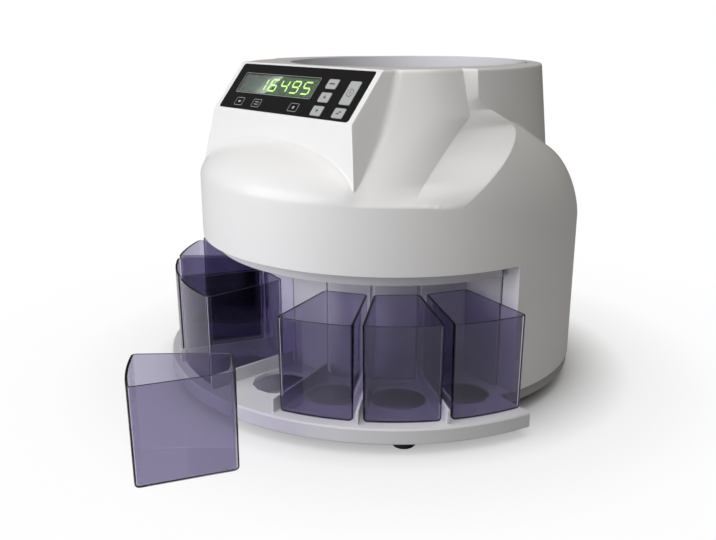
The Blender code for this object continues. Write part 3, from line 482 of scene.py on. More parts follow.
def body_reach(turn, z):
    """Reach without the control housing."""
    ridge, valley = ridge_turn(z), valley_turn(z)
    if z <= shoulder_foot(turn):
        return body_radius
    if turn >= ridge:
        return side_reach(turn, z)
    if turn <= valley:
        side = ease(turn, corner_turn(z) - math.radians(3), side_foot_turn(z) + math.radians(2))
        return dome_reach(z) * (1 - side) + grooved_ramp(turn, z) * side
    first = Vector((math.sin(valley), -math.cos(valley))) * grooved_ramp(valley, z)
    last = Vector((math.sin(ridge), -math.cos(ridge))) * side_reach(ridge, z)
    across = last - first
    return (first.x * across.y - first.y * across.x) / (math.sin(turn) * across.y + math.cos(turn) * across.x)


def arch_height(turn):
    """Height at which the dome meets the control housing."""
    low, high = front_foot, skirt_top + crown * 0.478
    for _ in range(30):
        middle = (low + high) / 2
        ahead = dome_reach(middle) > front_y(middle) / math.cos(turn)
        low, high = (middle, high) if ahead else (low, middle)
    return low


def cover_reach(turn, z):
    reach = body_reach(turn, z)
    if z < front_foot:
        return reach
    if turn <= corner_turn(z):
        return max(reach, front_y(z) / math.cos(turn))
    if turn <= side_foot_turn(z):
        return max(reach, side_at(turn, z))
    return reach


arch_heights = [round(arch_height(turn), 4) for turn in (0, math.radians(36))]
print("arch over the dome, middle and corner", *arch_heights)

# %% [markdown]
# Columns are shared out between the edges of the form, and drawn closer to the
# sharp ones. Rows do the same between the skirt, the arch over the dome and
# the lower edge of the slanted face, then roll over the rim, cross the flat
# deck and turn down into the hopper's opening.

# %% Columns and rows of the wrapped grid
column_counts = (30, 10, 36, 28, 16, 62)
edge_roll = 0.0016
lip_roll = 0.0010


def column_turns(z):
    """Angles of the columns on one side, from the middle of the front to the back."""
    first = corner_turn(z)
    second = side_foot_turn(z)
    third = max(valley_turn(z), second + math.radians(3))
    fourth = max(ridge_turn(z), third + math.radians(3))
    fifth = max(bay_turn, fourth + math.radians(4)) if z > skirt_bottom + 0.01 else bay_turn
    knots = (0, first, second, third, fourth, fifth, math.pi)
    bends = (0.55, 1.0, 0.65, 1.0, 1.5, 1.0)
    turns = [0.0]
    for k, count in enumerate(column_counts):
        for i in range(1, count + 1):
            share = i / count
            share = 1 - (1 - share) ** (1 / bends[k]) if bends[k] < 1 else share ** bends[k]
            turns.append(knots[k] + (knots[k + 1] - knots[k]) * share)
    return turns


def row_heights(turn):
    """Heights of the rows of a column, up to where the rim starts to roll."""
    corner = corner_turn(face_low)
    beside = ease(turn, corner, math.radians(76))
    foot = shoulder_foot(turn)
    arch = arch_height(min(turn, corner))
    third = face_low * (1 - beside) + shoulder_top(turn) * beside
    arch_share = (arch - skirt_top) / (face_low - skirt_top)
    second = foot + (third - foot) * (arch_share * (1 - beside) + 0.55 * beside)
    top = rim_height - edge_roll
    spans = ((cover_bottom, skirt_bottom, 4), (skirt_bottom, foot, 8), (foot, second, 18),
             (second, third, 20), (third, top, 18))
    heights = [cover_bottom]
    for low, high, count in spans:
        for i in range(1, count + 1):
            share = i / count
            if high == foot:
                share = 1 - (1 - share) ** 2
            elif low == foot:
                share = share * 0.6 + share ** 2 * 0.4
            elif low == second:
                share = share * 0.35 + math.sin(math.pi / 2 * share) * 0.65
            heights.append(low + (high - low) * share)
    return heights


def hopper_reach(turn):
    """Distance from the body's axis to the hopper's edge, whose centre is set back."""
    across = hopper_offset * math.cos(turn)
    return -across + math.sqrt(hopper_radius ** 2 - (hopper_offset * math.sin(turn)) ** 2)


print("columns", 2 * sum(column_counts), "rows", len(row_heights(0)))

# %% Wrap the grid round the axis
def skin_column(index):
    """Points of one column as angle, reach and height."""
    turn = column_turns(0.2)[index]
    points = []
    for z in row_heights(turn):
        here = column_turns(z)[index]
        points.append((here, cover_reach(here, z), z))
    top_turn = column_turns(rim_height)[index]
    outer = cover_reach(top_turn, rim_height)
    for i in range(1, 5):
        roll = math.pi / 2 * i / 4
        drop = edge_roll * (1 - math.sin(roll))
        points.append((top_turn, outer - edge_roll * (1 - math.cos(roll)), rim_height - drop))
    start, end = outer - edge_roll, hopper_reach(top_turn) + lip_roll
    for i in range(1, 6):
        points.append((top_turn, start + (end - start) * i / 5, rim_height))
    for i in range(1, 4):
        roll = math.pi / 2 * i / 3
        drop = lip_roll * (1 - math.cos(roll))
        points.append((top_turn, end - lip_roll * math.sin(roll), rim_height - drop))
    points.append((top_turn, end - lip_roll, rim_height - cover_wall))
    return points


half_columns = sum(column_counts)
row_count = len(skin_column(0))
bpy.ops.object.select_all(action="DESELECT")
bpy.ops.mesh.primitive_grid_add(x_subdivisions=2 * half_columns, y_subdivisions=row_count - 1, size=2)
cover = bpy.context.object
cover.name = "cover_moulding"
columns = [skin_column(i) for i in range(half_columns + 1)]
for vertex in cover.data.vertices:
    column = round(vertex.co.x * half_columns)
    row = round((vertex.co.y + 1) / 2 * (row_count - 1))
    turn, reach, z = columns[abs(column)][row]
    side = -1 if column < 0 else 1
    vertex.co = (side * reach * math.sin(turn), axis_y - reach * math.cos(turn), z)
print("skin", len(cover.data.vertices), "vertices", row_count, "rows")

# %% [markdown]
# The grid's two side edges meet behind the axis, so they are merged. The faces
# over the bay for the cups are deleted, the creases are softened a little as a
# mould leaves them, and a Solidify step gives the skin its 3 mm wall. Cutters
# then make the recess for the key panel and the window for the rear sockets.

# %% Close, open the bay and soften
def middle_of(face):
    return face.calc_center_median() - Vector((0, axis_y, 0))


select_only(cover)
bpy.ops.object.mode_set(mode="EDIT")
bpy.ops.mesh.select_all(action="SELECT")
bpy.ops.mesh.remove_doubles(threshold=0.00002)
bpy.ops.mesh.normals_make_consistent(inside=False)
bpy.ops.mesh.select_all(action="DESELECT")
shape = bmesh.from_edit_mesh(cover.data)
for face in shape.faces:
    spot = middle_of(face)
    if spot.z < skirt_bottom and abs(math.atan2(spot.x, -spot.y)) < bay_turn:
        face.select = True
bmesh.update_edit_mesh(cover.data)
bpy.ops.mesh.delete(type="FACE")
bpy.ops.object.mode_set(mode="OBJECT")
outward = sum(face.normal.x * face.center.x + face.normal.y * (face.center.y - axis_y)
              for face in cover.data.polygons)
if outward < 0:
    cover.data.flip_normals()
inner = cover.vertex_groups.new(name="creases")
loose = [v.index for v in cover.data.vertices if 0.150 < v.co.z < rim_height - 0.004]
inner.add(loose, 1.0, "REPLACE")
soften = cover.modifiers.new("soften creases", "SMOOTH")
soften.factor = 0.5
soften.iterations = 2
soften.vertex_group = "creases"
wall = cover.modifiers.new("wall", "SOLIDIFY")
wall.thickness = cover_wall
wall.offset = -1
apply_all(cover)
print("cover wall", len(cover.data.polygons), "faces")

# %% Recess for the key panel and the rear window
def on_face(across=0.0, up=0.0, out=0.0):
    """Place on the slanted face: x across, y up the face, z out of it."""
    right = Vector((1, 0, 0))
    along = Vector((0, math.cos(face_tilt), math.sin(face_tilt)))
    normal = Vector((0, -math.sin(face_tilt), math.cos(face_tilt)))
    middle = Vector((0, axis_y - (face_top + face_foot) / 2, (rim_height + face_low) / 2))
    turned = Matrix((right, along, normal)).transposed().to_4x4()
    return Matrix.Translation(middle + right * across + along * up + normal * out) @ turned


def rounded_box(name, width, height, low, high, corner, segments=4):
    """Box on the drawing plane with rounded upright edges."""
    bpy.ops.object.select_all(action="DESELECT")
    bpy.ops.mesh.primitive_cube_add(size=1)
    made = bpy.context.object
    made.name = name
    bpy.ops.object.mode_set(mode="EDIT")
    bpy.ops.transform.resize(value=(width, height, high - low))
    bpy.ops.transform.translate(value=(0, 0, (high + low) / 2))
    bpy.ops.mesh.select_mode(type="EDGE")
    bpy.ops.mesh.select_all(action="DESELECT")
    edit = bmesh.from_edit_mesh(made.data)
    for edge in edit.edges:
        edge.select = abs(edge.verts[0].co.z - edge.verts[1].co.z) > 1e-6
    bmesh.update_edit_mesh(made.data)
    bpy.ops.mesh.bevel(offset=corner, segments=segments, affect="EDGES")
    bpy.ops.mesh.select_mode(type="VERT")
    bpy.ops.object.mode_set(mode="OBJECT")
    return made


def stand_on_face(piece, across=0.0, up=0.0):
    piece.matrix_world = on_face(across, up)
    return bake_place(piece)


def carve(piece, cutter):
    """Cut with a shape and remove it."""
    step = piece.modifiers.new("cut", "BOOLEAN")
    step.operation = "DIFFERENCE"
    step.solver = "EXACT"
    step.object = cutter
    apply_all(piece)
    bpy.data.objects.remove(cutter)


panel_size = (0.164, 0.0442)
panel_depth = 0.0016
recess_size = [side + 0.0004 for side in panel_size]
opening_size = (0.150, 0.036)
rear_size = (0.080, 0.033)
rear_foot = 0.0248
recess = stand_on_face(rounded_box("panel recess", *recess_size, -panel_depth, 0.002, 0.0028))
carve(cover, recess)
window = stand_on_face(rounded_box("display opening", *opening_size, -0.006, -0.001, 0.002))
carve(cover, window)
rear = rounded_box("rear window", *rear_size, 0.150, 0.170, 0.002)
turned_back = Matrix.Rotation(math.radians(-90), 4, "X")
rear.matrix_world = Matrix.Translation((0, axis_y, rear_foot + rear_size[1] / 2)) @ turned_back
bake_place(rear)
carve(cover, rear)
smooth(cover, 40)
cover.data.materials.clear()
cover.data.materials.append(white_plastic)
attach(cover, "machine")
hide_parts("outer_cover")
print("cover done", len(cover.data.polygons), "faces")

# %% [markdown]
# The column behind the bay ends in a narrow wall on each side, square to the
# skirt. It starts as a cube that is stretched to size, turned to its angle and
# given soft edges.

# %% End walls of the column
end_wall_depth = 0.0148
end_wall_inset = 0.0069
for side in (-1, 1):
    bpy.ops.object.select_all(action="DESELECT")
    bpy.ops.mesh.primitive_cube_add(size=1)
    wall = bpy.context.object
    wall.name = "column_wall_" + ("left" if side < 0 else "right")
    wall.dimensions = (cover_wall, end_wall_depth, skirt_bottom - cover_bottom + 0.001)
    turn = bay_turn * side
    reach = body_radius - cover_wall - end_wall_inset
    beside = turn + side * (cover_wall / 2 - 0.0001) / reach
    middle_height = (skirt_bottom + cover_bottom) / 2
    wall.location = (reach * math.sin(beside), axis_y - reach * math.cos(beside), middle_height)
    wall.rotation_euler = (0, 0, turn)
    bake_place(wall)
    add_bevel(wall, 0.0006)
    apply_all(wall)
    smooth(wall)
    wall.data.materials.append(white_plastic)
    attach(wall, "machine")
print("column walls done")

# %% [markdown]
# ## The hopper
#
# The hopper is a slanting funnel: its mouth is set back from its foot. A cone
# without ends gives the wall, its upper ring is moved back, its lower ring is
# extruded into the flange that sits on the rail, and Solidify adds the wall.

# %% Hopper bowl
bowl_floor = 0.1891
bowl_foot_radius = 0.0905
bowl_gap = 0.0003
bowl_wall = 0.0025
flange_share = 1.18
bpy.ops.object.select_all(action="DESELECT")
bpy.ops.mesh.primitive_cone_add(vertices=160, radius1=bowl_foot_radius, radius2=hopper_radius - bowl_gap,
                                depth=rim_height - bowl_floor, end_fill_type="NOTHING",
                                location=(0, axis_y, (rim_height + bowl_floor) / 2))
bowl = bpy.context.object
bowl.name = "hopper_wall"
bake_place(bowl)
bpy.ops.object.mode_set(mode="EDIT")
bpy.ops.mesh.select_all(action="DESELECT")
shape = bmesh.from_edit_mesh(bowl.data)
for vertex in shape.verts:
    vertex.select = vertex.co.z > rim_height - 0.001
shape.select_flush(True)
bmesh.update_edit_mesh(bowl.data)
bpy.ops.transform.translate(value=(0, hopper_offset, 0))
bpy.ops.mesh.select_all(action="DESELECT")
shape = bmesh.from_edit_mesh(bowl.data)
for edge in shape.edges:
    edge.select = all(v.co.z < bowl_floor + 0.001 for v in edge.verts)
bmesh.update_edit_mesh(bowl.data)
bpy.ops.mesh.extrude_region_move(TRANSFORM_OT_translate={"value": (0, 0, -0.0001)})
bpy.ops.transform.resize(value=(flange_share, flange_share, 1), center_override=(0, axis_y, bowl_floor))
bpy.ops.object.mode_set(mode="OBJECT")
wall = bowl.modifiers.new("wall", "SOLIDIFY")
wall.thickness = bowl_wall
first_face = bowl.data.polygons[0]
faces_inwards = first_face.normal.dot(first_face.center - Vector((0, axis_y, 0.2))) < 0
wall.offset = 1 if faces_inwards else -1
add_bevel(bowl, 0.0008, 3, 50)
apply_all(bowl)
smooth(bowl)
bowl.data.materials.append(lilac_plastic)
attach(bowl, "machine")
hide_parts("hopper_bowl")
print("hopper", len(bowl.data.polygons), "faces")

# %% [markdown]
# ## The cups
#
# A cup is an open wedge: narrow at the hopper, wide and curved in front, with
# round corners. A plane is the start. Its corners go to the cup's plan, its
# outer edge is divided and pushed out to an arc, its corners are rounded, and
# it is extruded upwards. The wall then comes from a Solidify step.

# %% Shape of one cup
cup_near, cup_far = 0.1166, 0.1896
cup_near_width, cup_far_width = 0.0360, 0.0590
cup_high, cup_thick = 0.0744, 0.0019
cup_corner, cup_foot_round = 0.0036, 0.0026
slot_pitch = math.radians(19.8)


def select_edges(piece, wanted):
    """Select the edges of an edit mesh for which wanted(edge) is true."""
    edit = bmesh.from_edit_mesh(piece.data)
    for part in list(edit.verts) + list(edit.edges) + list(edit.faces):
        part.select = False
    for edge in edit.edges:
        if wanted(edge):
            edge.select = True
            edge.verts[0].select = edge.verts[1].select = True
    bmesh.update_edit_mesh(piece.data)


def cup_plan(name):
    bpy.ops.object.select_all(action="DESELECT")
    bpy.ops.mesh.primitive_plane_add(size=1)
    made = bpy.context.object
    made.name = name
    bpy.ops.object.mode_set(mode="EDIT")
    bpy.ops.mesh.select_mode(type="VERT")
    edit = bmesh.from_edit_mesh(made.data)
    for vertex in edit.verts:
        far = vertex.co.y < 0
        half = (cup_far_width if far else cup_near_width) / 2
        reach = math.sqrt(cup_far ** 2 - half ** 2) if far else cup_near
        vertex.co = (math.copysign(half, vertex.co.x), -reach, 0)
    bmesh.update_edit_mesh(made.data)
    select_edges(made, lambda edge: all(v.co.y < -cup_near - 0.01 for v in edge.verts))
    bpy.ops.mesh.subdivide(number_cuts=14)
    edit = bmesh.from_edit_mesh(made.data)
    for vertex in edit.verts:
        if vertex.co.y < -cup_near - 0.01:
            vertex.co.y = -math.sqrt(cup_far ** 2 - vertex.co.x ** 2)
        wide = cup_far_width if vertex.co.y < -cup_near - 0.01 else cup_near_width
        vertex.select = abs(abs(vertex.co.x) - wide / 2) < 0.0001
    bmesh.update_edit_mesh(made.data)
    bpy.ops.mesh.bevel(offset=cup_corner, segments=6, affect="VERTICES")
    return made


def cup_moulding(name):
    made = cup_plan(name)
    bpy.ops.mesh.select_all(action="SELECT")
    bpy.ops.mesh.extrude_region_move(TRANSFORM_OT_translate={"value": (0, 0, cup_high)})
    edit = bmesh.from_edit_mesh(made.data)
    top = [face for face in edit.faces if all(v.co.z > cup_high - 0.001 for v in face.verts)]
    bmesh.ops.delete(edit, geom=top, context="FACES_ONLY")
    bmesh.update_edit_mesh(made.data)
    select_edges(made, lambda edge: all(v.co.z < 0.001 for v in edge.verts))
    bpy.ops.transform.resize(value=(0.982, 0.988, 1), center_override=(0, -(cup_near + cup_far) / 2, 0))
    bpy.ops.mesh.bevel(offset=cup_foot_round, segments=4, affect="EDGES")
    bpy.ops.mesh.select_all(action="SELECT")
    bpy.ops.mesh.normals_make_consistent(inside=False)
    bpy.ops.object.mode_set(mode="OBJECT")
    wall = made.modifiers.new("wall", "SOLIDIFY")
    wall.thickness = cup_thick
    wall.offset = -1
    wall.use_even_offset = True
    add_bevel(made, 0.0004, 2, 60)
    apply_all(made)
    return smooth(made, 40)


first_cup = cup_moulding("cup_pattern")
print("cup", len(first_cup.data.polygons), "faces", [round(v, 4) for v in first_cup.dimensions])

# %% [markdown]
# Seven cups stand in their slots and one stands on the table beside the base.
# The pattern is copied once for each, and every copy gets its own mesh.

# %% Stand the cups
loose_spot = Vector((0.075, axis_y - 0.218, 0))
loose_turn = math.radians(-31.1)
for number in range(8):
    cup = first_cup.copy()
    cup.data = first_cup.data.copy()
    bpy.context.collection.objects.link(cup)
    node = "cup_" + str(number + 1)
    cup.name = "clear_" + node
    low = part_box(node)[0].z
    if number == 3:
        place = Matrix.Translation(loose_spot) @ Matrix.Rotation(loose_turn, 4, "Z")
        cup.matrix_world = place @ Matrix.Translation((0, cup_near, low))
    else:
        turn = (3.5 - number) * slot_pitch
        cup.matrix_world = Matrix.Translation((0, axis_y, low)) @ Matrix.Rotation(turn, 4, "Z")
    bake_place(cup)
    cup.data.materials.append(smoky_violet)
    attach(cup, node + "_body")
    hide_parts(node)
bpy.data.objects.remove(first_cup)
print("cups stand in 7 slots and 1 on the table")

# %% [markdown]
# ## Parts that keep the exact shape
#
# Many CAD parts already have the right form and only lack soft edges. A copy
# of such a part is merged, its flat triangles are joined into whole faces, and
# a narrow bevel catches the light along every edge, as a mould leaves it.

# %% Softened copies
def softened(node, title, finish, width=0.0004, segments=2, degrees=30):
    """Copy of a part with soft edges, which then stands for it."""
    copy = nodes[node].copy()
    copy.data = nodes[node].data.copy()
    copy.parent = None
    copy.matrix_world = Matrix.Identity(4)
    for key in list(copy.keys()):
        del copy[key]
    bpy.context.collection.objects.link(copy)
    copy.name = title
    select_only(copy)
    bpy.ops.object.mode_set(mode="EDIT")
    bpy.ops.mesh.select_all(action="SELECT")
    bpy.ops.mesh.remove_doubles(threshold=0.00002)
    bpy.ops.mesh.dissolve_limited(angle_limit=math.radians(0.6))
    bpy.ops.object.mode_set(mode="OBJECT")
    if width:
        add_bevel(copy, width, segments, degrees)
        apply_all(copy)
    smooth(copy, degrees)
    copy.data.materials.clear()
    copy.data.materials.append(finish)
    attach(copy, nodes[node]["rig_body"])
    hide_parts(node)
    return copy


softened("base_tray", "fan_tray", grey_plastic, 0.0005)
softened("core_wall", "inner_wall", core_plastic_painted_shade, 0.0004)
softened("chute_ring", "coin_chutes", core_plastic_painted_shade, 0.0004)
softened("sorting_deck", "sorting_plate", sheet_steel, 0.0003)
softened("coin_rail", "coin_fence", grey_plastic, 0.0003)
softened("feed_disc", "feed_plate", black_matt, 0.0005)
softened("disc_cap", "disc_knob", black_matt, 0.0006)
softened("rear_panel", "rear_plate", grey_plastic, 0.0003)
for number in range(1, 5):
    softened("foot_" + str(number), "rubber_foot_" + str(number), rubber, 0.0004)
print("softened copies made")

# %% [markdown]
# Under the column the base shows as a band, a little inside the cover's wall.
# Its grey is darker than the tray's, though it is the same moulding: painted
# shade under the cover. It starts as an open cylinder. Its front part goes,
# because the tray is there, and a Solidify step and a bevel give it its edge.

# %% Base band
band_low, band_high, band_radius = 0.0120, 0.0204, 0.1632
band_wall = 0.0028
bpy.ops.object.select_all(action="DESELECT")
bpy.ops.mesh.primitive_cylinder_add(vertices=160, radius=band_radius, depth=band_high - band_low,
                                    end_fill_type="NOTHING", location=(0, axis_y, (band_low + band_high) / 2))
band = bake_place(bpy.context.object)
band.name = "base_band"
bpy.ops.object.mode_set(mode="EDIT")
edit = bmesh.from_edit_mesh(band.data)
for face in edit.faces:
    spot = middle_of(face)
    face.select = abs(math.atan2(spot.x, -spot.y)) < math.radians(80)
bmesh.update_edit_mesh(band.data)
bpy.ops.mesh.delete(type="FACE")
bpy.ops.object.mode_set(mode="OBJECT")
skin = band.modifiers.new("wall", "SOLIDIFY")
skin.thickness = band_wall
skin.offset = -1
add_bevel(band, 0.0005, 2, 60)
apply_all(band)
smooth(band)
band.data.materials.append(band_painted_shade)
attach(band, "machine")
print("base band", len(band.data.polygons), "faces")

# %% [markdown]
# ## The key panel
#
# A glossy black film lies in the recess of the slanted face, with openings for
# the display and the keys. It starts as a thin cube with rounded corners, and
# smaller rounded cubes cut the openings.

# %% Panel film
display_spot = (-0.022, 0.0034)
display_size = (0.097, 0.0182)
key_size = (0.0120, 0.0086)
tall_key_size = (0.0120, 0.0205)
outline_keys = {"key_outline_1": (-0.0574, -0.0152), "key_outline_2": (-0.0337, -0.0152),
                "key_outline_3": (0.0145, -0.0152)}
grey_keys = {"key_grey_1": (0.0430, 0.0086), "key_grey_2": (0.0430, -0.0035),
             "key_grey_3": (0.0430, -0.0156), "key_grey_4": (0.0675, -0.0155)}
start_key = (0.0675, 0.0022)
panel = stand_on_face(rounded_box("panel_film", *panel_size, -panel_depth, 0, 0.0026))
openings = [("display", display_spot, display_size)]
openings += [(name, spot, key_size) for name, spot in {**outline_keys, **grey_keys}.items()]
openings.append(("start", start_key, tall_key_size))
for name, spot, size in openings:
    wide, high = size[0] + 0.0006, size[1] + 0.0006
    carve(panel, stand_on_face(rounded_box(name + " opening", wide, high, -0.01, 0.01, 0.0011), *spot))
add_bevel(panel, 0.00015, 2, 60)
apply_all(panel)
smooth(panel)
panel.data.materials.append(black_gloss)
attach(panel, "machine")
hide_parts("control_panel")
print("panel film with", len(openings), "openings")

# %% [markdown]
# The keys are small soft-edged caps that stand 0.3 mm proud. The three black
# ones carry a thin light outline, and every key carries a plain mark: arrows,
# bars, or the ring and bar that mean start on any machine.

# %% Keys
key_foot, key_top = -0.0027, 0.0003
key_corner = 0.0012


def key_cap(node, spot, size, finish):
    made = rounded_box(node + "_cap", *size, key_foot, key_top, key_corner)
    add_bevel(made, 0.00035, 3, 60)
    apply_all(made)
    stand_on_face(made, *spot)
    smooth(made)
    made.data.materials.append(finish)
    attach(made, node + "_body")
    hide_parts(node)
    return made


for name, spot in outline_keys.items():
    key_cap(name, spot, key_size, black_gloss)
for name, spot in grey_keys.items():
    key_cap(name, spot, key_size, key_plastic)
key_cap("key_start", start_key, tall_key_size, key_plastic)
print("key caps", len(outline_keys) + len(grey_keys) + 1)

# %% [markdown]
# A printed mark is a thin layer of ink, so each mark is modelled as a flat
# shape 0.06 mm thick. Bars are cubes, arrows are three-sided cylinders, and
# rings and outlines are a larger shape with a smaller one cut out of it.

# %% Printed marks
mark_low, mark_high = key_top, 0.00036


def bar(wide, high, across=0.0, up=0.0, low=mark_low, top=mark_high):
    made = rounded_box("bar", wide, high, low, top, min(wide, high) * 0.2, 2)
    made.matrix_world = Matrix.Translation((across, up, 0))
    return bake_place(made)


def arrow(radius, turn):
    bpy.ops.object.select_all(action="DESELECT")
    bpy.ops.mesh.primitive_cylinder_add(vertices=3, radius=radius, depth=mark_high - mark_low,
                                        location=(0, 0, (mark_low + mark_high) / 2), rotation=(0, 0, turn))
    return bake_place(bpy.context.object)


def outline(wide, high, line, low=mark_low, top=mark_high, corner=0.0011):
    made = rounded_box("outline", wide, high, low, top, corner)
    inside = rounded_box("inside", wide - 2 * line, high - 2 * line, low - 0.001, top + 0.001, corner * 0.7)
    carve(made, inside)
    return made


def ring(radius, line, low=mark_low, top=mark_high):
    bpy.ops.object.select_all(action="DESELECT")
    bpy.ops.mesh.primitive_cylinder_add(vertices=40, radius=radius, depth=top - low,
                                        location=(0, 0, (low + top) / 2))
    made = bake_place(bpy.context.object)
    bpy.ops.mesh.primitive_cylinder_add(vertices=40, radius=radius - line, depth=0.002)
    carve(made, bake_place(bpy.context.object))
    return made


def joined(parts, title):
    select_only(*parts)
    if len(parts) > 1:
        bpy.ops.object.join()
    parts[0].name = title
    return parts[0]


def print_mark(key, spot, parts, ink):
    """Join the shapes of a mark and put them on their key."""
    made = stand_on_face(joined(parts, key + "_mark"), *spot)
    made.data.materials.clear()
    made.data.materials.append(ink)
    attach(made, key + "_body")
    return made


frame_size = (0.0108, 0.0074)
frame_line = 0.00032
arrow_radius = 0.0019
print_mark("key_outline_1", outline_keys["key_outline_1"],
           [outline(*frame_size, frame_line), bar(0.0030, 0.0016)], light_ink)
print_mark("key_outline_2", outline_keys["key_outline_2"],
           [outline(*frame_size, frame_line), bar(0.0052, 0.0006, 0, 0.0011),
            bar(0.0052, 0.0006, 0, -0.0011)], light_ink)
print_mark("key_outline_3", outline_keys["key_outline_3"],
           [outline(*frame_size, frame_line), bar(0.0022, 0.0022)], light_ink)
print_mark("key_grey_1", grey_keys["key_grey_1"], [bar(0.0062, 0.0011)], dark_ink)
print_mark("key_grey_2", grey_keys["key_grey_2"], [arrow(arrow_radius, 0)], dark_ink)
print_mark("key_grey_3", grey_keys["key_grey_3"], [arrow(arrow_radius, math.pi)], dark_ink)
print_mark("key_grey_4", grey_keys["key_grey_4"],
           [bar(0.0030, 0.0010, -0.0010, -0.0006), bar(0.0030, 0.0010, 0.0010, 0.0010)], dark_ink)
print_mark("key_start", start_key, [ring(0.0034, 0.0004), bar(0.0005, 0.0030)], dark_ink)
print("marks on 8 keys")

# %% [markdown]
# ## The display
#
# Behind a clear window lies a dark green module with five lit digits. Each
# digit has seven segments. A segment is one rounded bar, and a table of letters
# says which segments each numeral lights.

# %% Digits
segment_marks = {"1": "bc", "6": "acdefg", "4": "bcfg", "9": "abcdfg", "5": "acdfg"}
digit_high, digit_wide, digit_pitch = 0.0108, 0.0086, 0.01415
first_digit = -0.0411
segment_line = 0.0013
segment_low, segment_top = -0.00145, -0.00135
half_high, half_wide = digit_high / 2, digit_wide / 2
segment_places = {"a": (0, half_high, True), "g": (0, 0, True), "d": (0, -half_high, True),
                  "f": (-half_wide, half_high / 2, False), "b": (half_wide, half_high / 2, False),
                  "e": (-half_wide, -half_high / 2, False), "c": (half_wide, -half_high / 2, False)}
digit_parts = []
for place_index, numeral in enumerate("16495"):
    start = first_digit + place_index * digit_pitch
    for segment in segment_marks[numeral]:
        across, up, level = segment_places[segment]
        size = (digit_wide - 0.0012, segment_line) if level else (segment_line, half_high - 0.0010)
        digit_parts.append(bar(*size, start + across, up, segment_low, segment_top))
digits = joined(digit_parts, "lit_digits")
stand_on_face(digits, 0, display_spot[1])
digits.data.materials.clear()
digits.data.materials.append(lit_segment)
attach(digits, "machine")
print("segments lit", len(digit_parts))

# %% Window, frame line and module
lens = rounded_box("display_glass", *display_size, -0.0012, 0, 0.0008)
add_bevel(lens, 0.0002, 2, 60)
apply_all(lens)
stand_on_face(lens, *display_spot)
smooth(lens)
lens.data.materials.append(display_tint)
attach(lens, "machine")
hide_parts("display_window")
trim_size = [side + 0.0014 for side in display_size]
trim_line = 0.0003
trim = stand_on_face(outline(*trim_size, trim_line, 0, 0.00006, 0.0009), *display_spot)
trim.name = "display_outline"
trim.data.materials.clear()
trim.data.materials.append(light_ink)
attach(trim, "machine")
# The module's finish carries the painted reflection on its left.
softened("display_module", "display_unit_with_painted_reflection", plate_and_painted_reflection, 0.0002)
print("display has a window, a frame line and a module")

# %% [markdown]
# ## The rear
#
# The inlet, the switch and the data port sit in the rear plate. Their sockets
# get what a plug or a finger meets: three blades, a tongue, and the bar and the
# ring that mean on and off on any switch.

# %% Rear sockets
softened("power_inlet", "inlet_housing", black_matt, 0.0004)
softened("power_switch", "switch_housing", black_matt, 0.0003)
softened("data_port", "port_housing", black_matt, 0.0003)
softened("power_rocker", "switch_rocker", black_matt, 0.0004)
inlet_low, inlet_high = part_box("power_inlet")
port_low, port_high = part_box("data_port")


def small_block(title, low, high, corner, finish, body="machine"):
    """Soft-edged block between two corners."""
    bpy.ops.object.select_all(action="DESELECT")
    bpy.ops.mesh.primitive_cube_add(size=1)
    made = bpy.context.object
    made.name = title
    made.dimensions = Vector(high) - Vector(low)
    made.location = (Vector(high) + Vector(low)) / 2
    bake_place(made)
    add_bevel(made, corner, 2, 60)
    apply_all(made)
    smooth(made)
    made.data.materials.append(finish)
    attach(made, body)
    return made


inlet_middle = (inlet_low + inlet_high) / 2
blade_floor = inlet_high.y - 0.0165
for number, (across, up) in enumerate(((-0.007, -0.002), (0, 0.002), (0.007, -0.002))):
    spot = Vector((inlet_middle.x + across, blade_floor, inlet_middle.z + up))
    small_block("inlet_blade_" + str(number + 1), spot + Vector((-0.001, 0, -0.002)),
                spot + Vector((0.001, 0.0125, 0.002)), 0.0003, steel)
port_middle = (port_low + port_high) / 2
tongue_half = 0.0042
tongue_low = (port_middle.x - tongue_half, port_high.y - 0.0135, port_middle.z + 0.0012)
tongue_high = (port_middle.x + tongue_half, port_high.y - 0.0035, port_middle.z + 0.0030)
small_block("port_tongue", tongue_low, tongue_high, 0.0003, key_plastic)
rocker_low, rocker_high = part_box("power_rocker")
crease_depth = 0.00229
rocker_crease = Vector(((rocker_low.x + rocker_high.x) / 2, rocker_high.y - crease_depth,
                        (rocker_low.z + rocker_high.z) / 2))
rocker_mark_low, rocker_mark_high = -0.00003, 0.00006


def rocker_mark(title, made, lean, up):
    """Lay a mark on the half of the rocker that leans out by an angle."""
    across = Vector((-1, 0, 0))
    along = Vector((0, math.sin(lean), math.cos(lean)))
    out = Vector((0, math.cos(lean), -math.sin(lean)))
    turned = Matrix((across, along, out)).transposed().to_4x4()
    made.name = title
    made.matrix_world = Matrix.Translation(rocker_crease + along * up) @ turned
    bake_place(made)
    made.data.materials.clear()
    made.data.materials.append(light_ink)
    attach(made, "rocker")


rocker_mark("switch_mark_on", bar(0.0006, 0.0034, 0, 0, rocker_mark_low, rocker_mark_high),
            math.radians(0.64), 0.0042)
rocker_mark("switch_mark_off", ring(0.0018, 0.0005, rocker_mark_low, rocker_mark_high),
            math.radians(-16.64), -0.0042)
print("rear sockets have their contacts, the rocker its marks")

# %% [markdown]
# ## Finishes of the remaining parts
#
# Every other part keeps its exact CAD mesh and gets one of the finishes. Most
# of them are hidden inside, but a cut-away or an open cover would show them.

